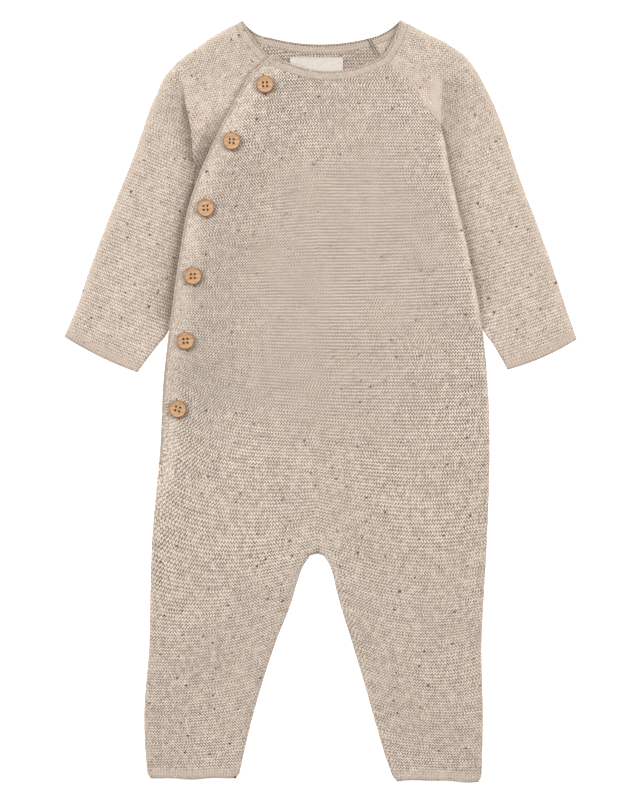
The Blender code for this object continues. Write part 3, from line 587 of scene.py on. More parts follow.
# %% Half a panel as a grid
def half_panel(panel, side, spacing=2.4):
    """Points and four UV maps of half a panel, as grids of rows from the side to the middle."""
    front = panel == "front"
    outer_y, inner = row_ends(panel, side, spacing)
    line, fold, radius, under = (v[:, None] for v in side_edge(panel, side, outer_y))
    outer = np.column_stack([line[:, 0], outer_y])
    length = np.hypot(*(inner - outer).T)[:, None]
    inset, drop = edge_zone(fold, radius, under, 7.0, 13)
    inner_inset, inner_drop = inner_edge(panel, side, outer_y[:, None], inner[:, 1])

    start, stop = inset[:, -1:], length - inner_inset[:, :1]
    columns = int(float((stop - start).max()) / spacing)
    middle = start + (stop - start) * np.linspace(0, 1, columns + 1)[None, 1:-1]
    along = np.hstack([inset, middle, length - inner_inset])
    plan = outer[:, None] + (inner - outer)[:, None] * (along / length)[..., None]
    x, y = plan[..., 0], plan[..., 1]

    left, right = (side_edge(panel, s, y)[0] for s in ("left", "right"))
    from_neck = TOP[panel] - y
    share = np.clip((x - left) / (right - left), 0, 1)
    sag, fade = NECK_SAG[panel]
    y_sagged = y - sag * np.exp(-from_neck / fade) * 4 * share * (1 - share)
    from_legs = distance_to(INNER_LINE, x, y)[0]
    if front:
        z = front_level(y, x - left, right - x, from_neck, from_legs) - crotch_drop(from_legs)
        z[:, :inset.shape[1]] -= drop
        flat = soft_step(along, 4, 16) * soft_step(from_legs, 3, 12) * soft_step(from_neck, 2, 16)
    else:
        z = LEVEL[0] + crotch_drop(from_legs)
        z[:, :inset.shape[1]] += drop
        tail = z[:, -inner_inset.shape[1]:]
        tail[:] = np.where(inner_drop > SIDE_RADIUS, LEVEL[0] + inner_drop, tail)
        flat = soft_step(along, 6, 18) * soft_step(from_legs, 5, 14)
    z = z + sink(panel, x, y_sagged) * flat

    run = row_lengths(x, z)
    u = OUTWARD[side] * (run[:, -1:] - run) + inner[:, :1]
    v = y_sagged - rise(side, x, y_sagged, line)
    y_sagged = y_sagged + hem_wave(x) * soft_step(y_sagged - HEM[side], 12, 0)
    hem = np.minimum(y_sagged - HEM[side] - hem_wave(x), HEM_REACH)
    seam = np.full_like(x, FAR)
    if side == "right":
        seam = np.where((y_sagged > SEAM_END - 4) & (along < 12), along, FAR)
    leg_edge = np.minimum(along, np.where(outer_y[:, None] < CROTCH, length - along, FAR))
    look, sway = half_look(panel, x, y, left, right, leg_edge)
    return stacked(x, y_sagged, z), dict(
        fabric=stacked(u, v), marks=stacked(hem, seam), look=look, sway=sway)

# %% [markdown]
# The two halves share the points of the line down the middle, so they are welded there. That
# leaves one sheet for each panel, as it was knitted.

# %% Front and back
def body_panel(panel):
    """Both halves in one mesh, welded along the middle; returns the piece and its neck edge."""
    left, right = (half_panel(panel, side) for side in ("left", "right"))
    count = left[0].shape[0] * left[0].shape[1]
    step = 1 if panel == "front" else -1
    quads = np.vstack([grid_quads(left[0])[:, ::step], grid_quads(right[0], count)[:, ::-step]])
    points = np.vstack([half[0].reshape(-1, 3) for half in (left, right)])
    maps = {key: np.vstack([half[1][key].reshape(-1, 2) for half in (left, right)])
            for key in left[1]}
    piece = make_mesh("cloth_" + panel, points, quads, maps, weld=True)
    add_wall(piece)
    print(panel, len(piece.data.polygons), "faces in the sheet")
    return piece, np.vstack([left[0][0], right[0][0, ::-1][1:]])


front, front_neck = body_panel("front")
back, back_neck = body_panel("back")

# %% [markdown]
# ## The sleeves
#
# A raglan sleeve is one piece that runs from the neck to the cuff and wraps the arm. Laid flat
# it is a tube with an outer fold: each row starts at the sleeve's front edge, runs out to the
# fold, turns under and comes back. The left one also has a real crease: the cloth beside the
# wrap edge folds over itself and comes back underneath, which a height map cannot do, so the
# row is bent back with two soft switches.

# %% Sleeves as grids
LEFT_CREASE = dict(
    columns=("y", "x", "depth", "height"),
    rows=((242, -107.5, 0.0, 0.0), (228, -104.5, 2.5, 2.6), (214, -101.0, 5.0, 4.2),
          (200, -97.5, 6.5, 5.6), (184, -96.0, 6.5, 5.6), (168, -96.0, 4.0, 4.4),
          (150, -97.0, 0.0, 0.0)),
)
FLAP_MEETS = (-111.0, 241.0)
BEND = np.linspace(6.0, 0.0, 10)[None, :]
FOLD_TOP = LEVEL[0] + 2 * SHOULDER_RADIUS
SLEEVE_LIE = 0.3
# Row places on the sleeves, as sums of c X^i Y^j with X and Y in 60 mm from an origin.
POWERS = [(i, n - i) for n in range(1, 5) for i in range(n, -1, -1)]
SLEEVE_ROWS = {
    "right": dict(origin=(120, 180), up=(-22.2, 57.1, 5.1, -4.8, -3.4, -2.5, 2.6, 0.0, -2.5,
                                         0.6, -0.1, -0.6, 0.2, -0.5),
                  along=(56.2, 20.8, 3.3, -4.7, 4.7, -1.3, 1.8, -2.1, 1.3)),
    "left": dict(origin=(-120, 180), up=(24.4, 57.2, 3.8, 5.0, -2.6, 1.6, 2.7, 0.8, -3.0,
                                         0.3, 0.3, -0.3, -0.2, -0.7),
                 along=(55.0, -23.4, -3.3, -4.5, -4.1, -1.4, -1.9, -1.9, -1.2)),
    "flap": dict(origin=(-90, 225), up=(51.0, 30.5, 1.9, -1.5, 0.1),
                 along=(31.0, -51.5, -2.2, -0.3, 0.1)),
}

# %% [markdown]
# The knitted rows of a sleeve fan out towards the shoulder. Their place is a polynomial of the
# point's place, one for each sleeve and one for the flap beside the crease. The crease itself is
# a pleat: the length along the row runs forward, back and forward again.

# %% Rows and pleat
def row_place(area, way, x, y):
    """The polynomial of an area of a sleeve, up the rows or along them, in millimetres."""
    origin = SLEEVE_ROWS[area]["origin"]
    across, down = (x - origin[0]) / 60, (y - origin[1]) / 60
    return sum(c * across ** i * down ** j for c, (i, j) in zip(SLEEVE_ROWS[area][way], POWERS))


def soft_switch(value):
    """0 far below zero and 1 far above it: 1 / (1 + e^-value)."""
    return 1 / (1 + np.exp(-np.clip(value, -40, 40)))


def soft_ramp(value):
    """The running total of the soft switch: ln(1 + e^value)."""
    return np.logaddexp(0, value)


def pleat(s, start, depth, width=0.55):
    """Plan place and height share of cloth that turns back at start for a depth.

    place = s - 2w (ramp((s - start)/w) - ramp((s - start - depth)/w)); the share falls by a
    half at each of the two turns.
    """
    first, second = (s - start) / width, (s - start - depth) / width
    place = s - 2 * width * (soft_ramp(first) - soft_ramp(second))
    return place, 1 - 0.5 * (soft_switch(first) + soft_switch(second))

# %% [markdown]
# Three small formulas place the columns of a row, bend the row down the sleeve by its bow and say
# where it meets the crease.

# %% Columns, bow and crease
def filled(first, last, spacing):
    """Two sets of columns and even columns between them."""
    start, stop = first[:, -1:], last[:, :1]
    columns = int(float(np.abs(stop - start).max()) / spacing)
    return np.hstack([first, start + (stop - start) * np.linspace(0, 1, columns)[None, 1:-1], last])


def bowed(base, outer, reach, along, bow):
    """Plan of the points along rows from base to outer, whose middles lie lower by the bow."""
    share = along / reach
    down = np.hstack([outer[:, 1:] - base[:, 1:], base[:, :1] - outer[:, :1]]) / reach
    plan = (base[:, None] + (outer - base)[:, None] * share[..., None]
            + down[:, None] * (bow * 4 * share * (1 - share))[..., None])
    return plan[..., 0], plan[..., 1]


def crease(front_y, base, outer, reach):
    """Where each row of the left sleeve meets the crease: its length along the row and its
    height on the sleeve, then how far the cloth turns back there and how high it stands."""
    slope = (outer[:, :1] - base[:, :1]) / reach
    at = (read(LEFT_CREASE, "x", front_y + 14) - base[:, :1]) / slope
    crossing = front_y + at * (outer[:, 1:] - base[:, 1:]) / reach
    inside = soft_step(crossing, 150, 154) * soft_step(crossing, 242, 238)
    depth, height = (read(LEFT_CREASE, name, crossing) * inside for name in ("depth", "height"))
    return at, crossing, depth, height

# %% [markdown]
# Light hardly reaches the hollow between the sleeve and the front's raised edge, or the inside of
# the crease. A real shadow does part of that. The rest is painted shade: the yarn's colour is
# darkened there, with a soft edge.

# %% Painted shade beside the front
def right_shade(x, y):
    """How much shade is painted on the right sleeve beside the front, and its pale flap."""
    over = soft_step(y, SEAM_END - 6, SEAM_END + 6)
    crest = read(FRONT_OUTLINE, "right", y)
    crest = crest + (91.5 - crest) * over
    # Painted shade in the hollow beside the front's edge, darkest at the edge.
    painted_shade = 0.62 * np.exp(-(np.maximum(x - crest, 0) / (13 + 3 * over)) ** 2)
    painted_shade = painted_shade * soft_step(y, 252, 236) * soft_step(y, UNDERARM + 4, UNDERARM + 30)
    painted_shade = painted_shade * (1 - over * soft_step(x, crest + 1, crest - 2))
    return painted_shade, over * soft_step(np.abs(x - crest + 5), 5, 2.5) * soft_step(y, 246, 238)


def left_shade(y, s, from_wrap, start, depth, crossing):
    """Painted shade on the left sleeve in the crease and beside the wrap, and the flap between."""
    deep, past = np.minimum(depth / 5, 1), start + depth / 2
    left_of = np.maximum(s - past - 1.5 * depth, 0) + 30 * soft_step(s, past, past - 1)
    # Painted shade in the crease and beside the wrap edge, each fading to the side.
    in_crease = 1.25 * deep * np.exp(-(left_of / 9.5) ** 1.2)
    beside = 1.35 * np.exp(-(np.maximum(from_wrap, 0) / 9.5) ** 1.5)
    beside = beside * soft_step(y, 225, 175) * soft_step(y, UNDERARM - 12, UNDERARM + 16)
    blur = 4 - 2.6 * deep
    flap = soft_step(s, past + blur, past - blur) * soft_step(crossing, 130, 150)
    return np.maximum(in_crease, beside), flap

# %% [markdown]
# A sleeve has an upper and a lower layer, joined by the round fold at its outer edge. The upper
# one climbs from the front panel's level to the fold's, and holds the crease and the troughs.

# %% Two layers of a sleeve
def top_layer(side, front_y, tuck, outer, bow, inset, drop, spacing):
    """The upper layer of a sleeve, from its front edge to the outer fold."""
    base = np.hstack([read(FRONT_OUTLINE, side, front_y) - OUTWARD[side] * tuck, front_y])
    reach = np.hypot(*(outer - base).T)[:, None]
    fold_s = reach - fold_inset(BEND, SHOULDER_RADIUS)
    inner_top = LEVEL[1] + (2 * CUFF_RADIUS + LEVEL[0] - LEVEL[1]) * soft_step(
        front_y, UNDERARM + 7, UNDERARM - 9)
    if side == "left":
        start, crossing, depth, height = crease(front_y, base, outer, reach)
        s = filled(inset, fold_s + 2 * depth, spacing)
        place, share_up = pleat(s, start, depth)
        along = np.where(depth > 0.01, place, s)
    else:
        along = filled(inset, fold_s, spacing)
        beside = soft_step(front_y, SEAM_END + 2, SEAM_END + 14)
        inner_top = inner_top + (right_edge_level(front_y) - inner_top) * beside
    x, y = bowed(base, outer, reach, along, bow * OUTWARD[side])
    middle_top = LEVEL[1] + NECK_LIFT * soft_step(outer[:, 1:], 255, 268)
    inner_flat = 3 + 11 * soft_step(tuck, 0, 6)
    z = middle_top + (inner_top - middle_top) * soft_step(along, inner_flat + 14, inner_flat)
    z = z + (FOLD_TOP - z) * soft_step(reach - along, 18, 5)
    if side == "left":
        from_wrap = read(FRONT_OUTLINE, "left", y) - x
        z = z + height * share_up * soft_step(from_wrap, 5, 12)
        painted_shade, flap = left_shade(y, s, from_wrap, start, depth, crossing)
    else:
        painted_shade, flap = right_shade(x, y)
    z = z + sink(side, x, y) * soft_step(along, 3, 9) * soft_step(reach - along, 4, 12)
    z[:, :inset.shape[1]] -= drop
    z[:, -BEND.shape[1]:] -= fold_drop(BEND, SHOULDER_RADIUS)
    return stacked(x, y, z, painted_shade, flap)


def bottom_layer(side, back_y, tuck, outer, bow, inset, drop, spacing):
    """The layer under it, from the outer fold to the back edge."""
    under = np.minimum(tuck, 0)
    base = np.hstack([read(BACK_OUTLINE, side, back_y) - OUTWARD[side] * under, back_y])
    reach = np.hypot(*(outer - base).T)[:, None]
    bend = BEND[:, ::-1][:, 1:]
    fold_s = reach - fold_inset(bend, SHOULDER_RADIUS)
    along = filled(fold_s, inset[:, ::-1], 1.5 * spacing)
    x, y = bowed(base, outer, reach, along, bow * OUTWARD[side])
    z = np.full_like(x, LEVEL[0])
    z[:, :bend.shape[1]] = FOLD_TOP - fold_drop(-bend, SHOULDER_RADIUS)
    z[:, -inset.shape[1]:] += drop[:, ::-1]
    return stacked(x, y, z, 0.0, 0.0)


def sleeve_grid(side, row_count=100, spacing=2.2):
    """Points of a sleeve along each row: front edge, outer fold, back edge. Each point also
    says how much shade is painted on it and whether it is on the flap beside the crease."""
    order = np.arange(len(SLEEVES[side]["rows"]))
    at = np.linspace(0, order[-1], row_count)
    front_y, tuck, outer_x, outer_y, back_y, bow = (
        smooth_curve(order, column(SLEEVES[side], name), at)[:, None] for name in SLEEVE_COLUMNS)
    outer = np.hstack([outer_x - OUTWARD[side] * WALL / 2, outer_y])
    fold = soft_step(front_y, UNDERARM + 1, UNDERARM - 9)
    edge = edge_zone(fold, CUFF_RADIUS, 0.0, 5.0, 9)
    top = top_layer(side, front_y, tuck, outer, bow, *edge, spacing)
    bottom = bottom_layer(side, back_y, tuck, outer, bow, *edge, spacing)
    return np.hstack([top, bottom]), top.shape[1]

# %% [markdown]
# The fabric map follows the cloth, not the plan: where the cloth climbs or folds, its rows are
# longer than they look from above. On the under layer the map runs back from the fold.

# %% Sleeves
def sleeve(side):
    """The sleeve's piece and its neck edge."""
    grid, top_columns = sleeve_grid(side)
    x, y, z, painted_shade, flap = np.moveaxis(grid, -1, 0)
    across = x * math.cos(SLEEVE_LIE) + OUTWARD[side] * y * math.sin(SLEEVE_LIE)
    climb = row_lengths(across, z) - row_lengths(across, 0 * z)
    climb[:, top_columns:] = 2 * climb[:, top_columns - 1:top_columns] - climb[:, top_columns:]
    u = row_place(side, "along", x, y) + OUTWARD[side] * climb
    v = row_place(side, "up", x, y)
    if side == "left":
        for store, way in ((u, "along"), (v, "up")):
            other = row_place("flap", way, x, y)
            other += row_place("left", way, *FLAP_MEETS) - row_place("flap", way, *FLAP_MEETS)
            store += (other - store) * flap
    steps = np.hypot(*np.moveaxis(np.diff(grid[..., :2], axis=0), -1, 0))
    hem = np.vstack([np.cumsum(steps[::-1], axis=0)[::-1], np.zeros((1, x.shape[1]))])
    seam = np.full_like(x, FAR)
    number = np.arange(x.shape[1])
    if side == "right":
        reach = np.hypot(x - x[:, :1], y - y[:, :1])
        near_neck = (y > SEAM_END - 6) & (number < top_columns) & (reach < 14)
        seam = np.where(near_neck, SLEEVE_SEAM + reach, FAR)
    bend = np.abs(number - top_columns + 0.5) < 8
    pale = flap if side == "right" else 0 * flap
    # Painted shade darkens the yarn and shows more of the stitches; the whole sleeve is a bit
    # darker.
    calm = 0.46 + 0.25 * bend - 0.25 * painted_shade + 0.35 * pale
    tone = -0.02 * pale - 0.28 - 0.76 * painted_shade
    maps = dict(fabric=stacked(u, v), marks=stacked(np.minimum(hem, HEM_REACH), seam),
                look=stacked(calm, tone), sway=stacked(0.09 * soft_step(y, 170, 225) - 0.05, 0.0))
    piece = grid_mesh("cloth_sleeve_" + side, grid[..., :3], maps, flip=side == "left")
    add_wall(piece)
    print("sleeve", side, len(piece.data.polygons), "faces in the sheet")
    return piece, grid[0, :, :3]


sleeve_right, right_neck = sleeve("right")
sleeve_left, left_neck = sleeve("left")

# %% [markdown]
# ## Neckband
#
# The neck is finished with a narrow band knitted double, so its free edge is round. It follows
# the neck edges of all four panels. One way is a curve with a bevel, but a curve twists where
# the path turns over the shoulder, so the band is a grid: the path one way, its width the other.

# %% Neckband as a ribbon
def lengths(path):
    """Length along a path up to each of its points."""
    return np.concatenate([[0], np.cumsum(np.linalg.norm(np.diff(path, axis=0), axis=1))])


def resample(path, step):
    """Points at equal steps of length along a path."""
    run = lengths(path)
    keep = np.concatenate([[True], np.diff(run) > 1e-6])
    at = np.linspace(0, run[-1], int(run[-1] / step))
    return np.column_stack([np.interp(at, run[keep], place) for place in path[keep].T]), at


def smoothed(values, times):
    """Each point moved to the mean of itself and its two neighbours, several times over."""
    for _ in range(times):
        means = (values[:-2] + 2 * values[1:-1] + values[2:]) / 4
        values = np.vstack([values[:1], means, values[-1:]])
    return values


NECK_AIM = (0.0, 318.0)
neck_edges = (front_neck, right_neck, back_neck[::-1], left_neck[::-1])
neck_path, neck_run = resample(np.vstack(neck_edges), 0.9)
neck_path = smoothed(neck_path, 3)
aim = np.array(NECK_AIM) - neck_path[:, :2]
aim /= np.linalg.norm(aim, axis=1, keepdims=True)
corner = np.array([read(FRONT_OUTLINE, "left", 258) - read(FRONT_OUTLINE, "left", 252), 6.0])
aim += (corner / np.linalg.norm(corner) - aim) * soft_step(neck_run, 20, 0)[:, None]
aim /= np.linalg.norm(aim, axis=1, keepdims=True)
width = np.linspace(SEAM_GAP, SEAM_GAP + BAND_WIDTH, 9)[:, None]
band_points = neck_path + np.column_stack([aim, 0 * neck_run]) * width[..., None]
neckband = grid_mesh("neck_band", band_points, {"fabric": stacked(neck_run[None, :], width)})
add_wall(neckband)
print("neckband runs", round(float(neck_run[-1])), "mm round the neck")

# %% [markdown]
# ## Wrap edge: rolled binding and the strip under it
#
# The wrap's edge is a thin roll of jersey, about as thick as a shoelace. Under the wrap lies the
# button stand, a flat strip that only shows at the neck. The roll is an ellipse carried along
# the outline: centre plus cos of the turn across and sin of the turn up.

# %% Binding and stand
def left_hand(path):
    """Unit vectors to the left-hand side of a path, in plan."""
    run = np.gradient(path[:, :2], axis=0)
    run /= np.linalg.norm(run, axis=1, keepdims=True)
    return np.column_stack([-run[:, 1], run[:, 0]])


def roll(name, centre, across_size, up_size, sides=14):
    """An ellipse carried along a path of points, with rounded ends; UV is length and turn."""
    inward, length = left_hand(centre), lengths(centre)
    turn = np.linspace(0, TURN, sides + 1)[None, :]
    end = np.minimum(length, length[-1] - length)[:, None]
    size = np.sqrt(1 - (1 - np.clip(end / (across_size / 2), 0.0, 1)) ** 2 + 1e-4)
    x = centre[:, :1] + inward[:, :1] * np.cos(turn) * across_size / 2 * size
    y = centre[:, 1:2] + inward[:, 1:] * np.cos(turn) * across_size / 2 * size
    z = centre[:, 2:] + np.sin(turn) * up_size / 2 * size
    piece = grid_mesh(name, stacked(x, y, z), {"fabric": stacked(length[:, None], turn / TURN)},
                      weld=True)
    shape = bmesh.new()
    shape.from_mesh(piece.data)
    bmesh.ops.holes_fill(shape, edges=[e for e in shape.edges if e.is_boundary], sides=0)
    bmesh.ops.recalc_face_normals(shape, faces=shape.faces)
    shape.to_mesh(piece.data)
    shape.free()
    return piece


edge_y = np.linspace(258, OVERLAP_END, 300)
edge_line = np.column_stack([read(FRONT_OUTLINE, "left", edge_y), edge_y])
binding_path = np.column_stack([edge_line + left_hand(edge_line) * BINDING_WIDTH / 2,
                                overlap_level(edge_y)])
binding = roll("wrap_binding", binding_path, BINDING_WIDTH, BINDING_WIDTH * 0.85)

stand_y = np.linspace(247, -43, 130)[:, None]
stand_slant = slant(FRONT_OUTLINE, "left", stand_y)
stand_line = read(FRONT_OUTLINE, "left", stand_y) + STAND_INSET * stand_slant * soft_step(
    stand_y, UNDERARM - 4, UNDERARM + 4)
stand_fold = soft_step(stand_y, UNDERARM, UNDERARM - 9)
stand_radius = side_edge("back", "left", stand_y)[2]
stand_inset, stand_drop = edge_zone(stand_fold, stand_radius, 0.0, 6.0, 9)
rest = stand_inset[:, -1:] + (STAND_WIDTH * stand_slant
                              - stand_inset[:, -1:]) * np.linspace(0, 1, 6)[None, 1:]
stand_x = stand_line + np.hstack([stand_inset, rest])
stand_z = overlap_level(stand_y) - LAYER_PITCH - np.hstack([stand_drop, 0 * rest])
stand = grid_mesh("under_stand", stacked(stand_x, stand_y, stand_z),
                  {"fabric": stacked(stand_y, stand_x - stand_line)})
add_wall(stand)
print("wrap edge", round(float(np.hypot(*np.diff(edge_line, axis=0).T).sum())), "mm long")

# %% [markdown]
# ## Label and buttons
#
# A bare woven label is sewn inside the back neck. The buttons are turned from wood: a disc with
# a rounded rim, a shallow dish and four holes.

# %% Label
LABEL_SIZE, LABEL_CENTRE, LABEL_LEVEL, LABEL_WALL = (40.0, 15.0), (-3.0, 249.0), 2.4, 0.7
label_u, label_v = np.meshgrid(np.linspace(-0.5, 0.5, 41) * LABEL_SIZE[0],
                               np.linspace(0.5, -0.5, 16) * LABEL_SIZE[1])
label_z = LABEL_LEVEL + 0.15 * np.sin(label_u / 6.0) * np.cos(label_v / 7)
label = grid_mesh("woven_label",
                  stacked(label_u + LABEL_CENTRE[0], label_v + LABEL_CENTRE[1], label_z),
                  {"fabric": stacked(label_u, label_v)})
add_wall(label, LABEL_WALL, 0.2)
print("label is", LABEL_SIZE[0], "by", LABEL_SIZE[1], "mm")

# %% [markdown]
# A button could be a disc with four cylinders cut out of it. It is simpler as one surface: the
# profile of a turned disc, carried round its axis, with the face lowered wherever a hole is
# near. The rings of points lie close together where the holes are.

# %% Buttons
BUTTONS = ((-41.5, 235.5, 4), (-66.5, 193.0, -3), (-86.0, 143.0, 2), (-95.5, 92.0, 0),
           (-101.0, 43.5, 3), (-107.0, -7.5, -13))
BUTTON_THICKNESS, BUTTON_LIFT = 2.6, 1.15
HOLE_RADIUS, HOLE_RIM, HOLE_SPACING, HOLE_DEPTH = 0.74, 0.12, 2.9, 1.7
PROFILE = np.array(
    [(0.0, 0.90)] + [(r, 0.90) for r in np.linspace(0.35, 3.05, 19)]
    + [(3.8, 0.90), (4.6, 0.92), (5.0, 1.02), (5.3, 1.20), (5.6, 1.30), (5.9, 1.30), (6.2, 1.24),
       (6.45, 1.08), (6.6, 0.82), (6.65, 0.4), (6.65, -0.5), (6.5, -0.95), (6.1, -1.25),
       (5.4, -1.3), (2.5, -1.3), (0.0, -1.3)])
ROUND = 96


def turned(x, y, degrees):
    """A point or a grid turned about the origin."""
    c, s = math.cos(math.radians(degrees)), math.sin(math.radians(degrees))
    return c * x - s * y, s * x + c * y


def button_piece(number, x, y, turn):
    """One button: profile by angle, z lowered by the hole depth inside each hole's radius."""
    angle = np.linspace(0, TURN, ROUND + 1)[None, :]
    radius, level = PROFILE[:, :1], PROFILE[:, 1:]
    px, py = radius * np.cos(angle), radius * np.sin(angle)
    pz = level + 0 * angle
    for hx in (-HOLE_SPACING / 2, HOLE_SPACING / 2):
        for hy in (-HOLE_SPACING / 2, HOLE_SPACING / 2):
            near = np.hypot(px - hx, py - hy)
            sunk = soft_step(near, HOLE_RADIUS + HOLE_RIM, HOLE_RADIUS - HOLE_RIM)
            pz = pz - np.where(level > 0, HOLE_DEPTH * sunk, 0)
    base = float(overlap_level(np.array(float(y)))) + BUTTON_LIFT + BUTTON_THICKNESS / 2
    along, up = turned(px, py, turn)
    piece = grid_mesh(f"wood_button_{number}", stacked(x + along, y + up, base + pz),
                      {"fabric": stacked(radius, pz)}, flip=True, weld=True)
    return piece, base


buttons, button_tops = zip(*(button_piece(n, *row) for n, row in enumerate(BUTTONS, start=1)))
print("buttons:", len(buttons), "each", 2 * PROFILE[:, 0].max(), "mm across")

# %% [markdown]
# ## Thread, buttonhole shade and tacks
#
# Each button is held by yarn that crosses between its holes. Above each button the end of a
# worked buttonhole peeks out as a thin dark ring of painted shade, and a few stitches tack the
# corner of the wrap. The back raglan seam shows inside the neck as a pale line between two dark
# lines of painted shade. All of these are tubes along a path: one function makes them, and each
# kind becomes one piece.

# %% Thread
def tube(path, thickness, sides=7):
    """A round tube along a path; its frame is the path's run, its left-hand side and up."""
    run = np.gradient(path, axis=0)
    run /= np.linalg.norm(run, axis=1, keepdims=True)
    side = np.column_stack([left_hand(path), 0 * path[:, 0]])
    up = np.cross(run, side)
    turn = np.linspace(0, TURN, sides + 1)[None, :, None]
    spoke = side[:, None] * np.cos(turn) + up[:, None] * np.sin(turn)
    return path[:, None] + spoke * thickness / 2


def tubes(name, paths, thickness):
    """Many tubes in one mesh."""
    points, quads = np.empty((0, 3)), []
    for path in paths:
        grid = tube(path, thickness)
        quads.append(grid_quads(grid, len(points)))
        points = np.vstack([points, grid.reshape(-1, 3)])
    return make_mesh(name, points, np.vstack(quads), {"fabric": points[:, :2]}, weld=True)


def arch(start, end, rise_up, count=9):
    """Points from start to end that rise as 4 t (1 - t)."""
    t = np.linspace(0, 1, count)[:, None]
    path = np.array(start) + (np.array(end) - np.array(start)) * t
    path[:, 2] += (rise_up * 4 * t * (1 - t))[:, 0]
    return path


THREAD_REACH, THREAD_LEVEL, THREAD_RISE = 0.56, 0.3, 0.85
EYELET_LENGTH, EYELET_WIDTH, EYELET_TURN = 17.0, 0.7, 99.0
TACKS, TACK_TOP, TACK_STEP, TACK_INSET = 4, 257.0, 2.1, 3.2
SEAM_TOP, SEAM_FOOT = np.array([36.2, 270.6]), np.array([42.6, 258.0])
SEAM_LEVEL, SEAM_WIDTH = 1.7, 2.2

crosses, shade_paths, corner_stitches = [], [], []
round_trip = np.linspace(0, TURN, 25)
ring_x, ring_y = turned(EYELET_LENGTH / 2 * np.cos(round_trip),
                        EYELET_WIDTH / 2 * np.sin(round_trip), EYELET_TURN)
for (x, y, turn), base in zip(BUTTONS, button_tops):
    hole = HOLE_SPACING / 2 * THREAD_REACH
    for slope in (1, -1):
        dx, dy = turned(hole, hole * slope, turn)
        crosses.append(arch((x - dx, y - dy, base + THREAD_LEVEL),
                            (x + dx, y + dy, base + THREAD_LEVEL), THREAD_RISE))
    cloth_top = base - BUTTON_THICKNESS / 2 - BUTTON_LIFT + WALL / 2
    # A thin dark ring of painted shade where the buttonhole's slit is.
    shade_paths.append(stacked(x + ring_x, y + ring_y, cloth_top + 0.15))
for place in range(TACKS):
    y0 = TACK_TOP - TACK_STEP * place
    x0 = float(read(FRONT_OUTLINE, "left", np.array(y0))) + TACK_INSET
    top = float(overlap_level(np.array(y0))) + WALL / 2
    corner_stitches.append(arch((x0, y0, top), (x0 + 2.6, y0 - 1.1, top), 0.35, 6))
# Two dark lines of painted shade beside the back raglan seam.
for offset in (-SEAM_WIDTH / 2, SEAM_WIDTH / 2):
    shade_paths.append(arch((*(SEAM_TOP + (offset, 0)), SEAM_LEVEL + 0.05),
                     (*(SEAM_FOOT + (offset, 0)), SEAM_LEVEL + 0.05), 0.1))
corner_stitches.append(arch((*SEAM_TOP, SEAM_LEVEL), (*SEAM_FOOT, SEAM_LEVEL), 0.15))
threads = tubes("button_thread", crosses, 0.6)
shade_tubes = tubes("buttonhole_shade", shade_paths, 0.55)
tacks = tubes("tacks_and_seam", corner_stitches, 0.8)
print("threads:", len(crosses), "eyelets:", len(shade_paths), "tacks:", len(corner_stitches))

# %% [markdown]
# ## A small language for materials
#
# A material is a graph of nodes, and a formula such as cos(a + cos(b)) takes five of them. The
# class Wire wraps one socket, so that plain Python arithmetic on it adds the Math nodes. Every
# node comes from one function, which sets its settings first and then its sockets.

# %% Sockets as numbers
def plug(tree, socket, value):
    """A wire or a plain value into a socket."""
    if isinstance(value, Wire):
        tree.links.new(value.socket, socket)
    else:
        socket.default_value = value


def add_node(tree, kind, settings=None, values=None):
    """The outputs of a new node of a kind, with its settings and its sockets' values."""
    node = tree.nodes.new(kind)
    for key, setting in (settings or {}).items():
        setattr(node, key, setting)
    for key, value in (values or {}).items():
        plug(tree, node.inputs[key], value)
    return [Wire(tree, socket) for socket in node.outputs if socket.enabled]


class Wire:
    """One value travelling through a material."""

    def __init__(self, tree, socket):
        self.tree, self.socket = tree, socket

    def maths(self, operation, *values):
        """The result of a Math node."""
        return add_node(self.tree, "ShaderNodeMath", {"operation": operation},
                        dict(enumerate(values)))[0]

    def __neg__(self):
        return self.maths("MULTIPLY", self, -1.0)

    def wrapped(self, period):
        """The value folded into the span from minus to plus half a period."""
        return self.maths("WRAP", self, period / 2, -period / 2)

    def step(self, start, end):
        """0 before start and 1 past end, as a soft step; start may exceed end."""
        low, high, first, last = (start, end, 0.0, 1.0) if start < end else (end, start, 1.0, 0.0)
        return add_node(
            self.tree, "ShaderNodeMapRange", {"interpolation_type": "SMOOTHSTEP"},
            {"Value": self, "From Min": low, "From Max": high, "To Min": first, "To Max": last})[0]


def method(operation, swapped=False):
    """A method that adds a Math node of the wire and what it is given, or the other way round."""
    def apply(wire, *others):
        values = (wire, *others)
        return wire.maths(operation, *(values[::-1] if swapped else values))
    return apply


for word, operation in (("add", "ADD"), ("sub", "SUBTRACT"), ("mul", "MULTIPLY"),
                        ("truediv", "DIVIDE")):
    setattr(Wire, f"__{word}__", method(operation))
    setattr(Wire, f"__r{word}__", method(operation, swapped=True))
for word, operation in (("cos", "COSINE"), ("abs", "ABSOLUTE"), ("floor", "FLOOR"),
                        ("at_least", "MAXIMUM"), ("over", "GREATER_THAN")):
    setattr(Wire, word, method(operation))

# %% [markdown]
# The second class holds one material and the few kinds of node that the suit needs: noise,
# random numbers, scattered points and mixed colours. Its last method plugs the result in.

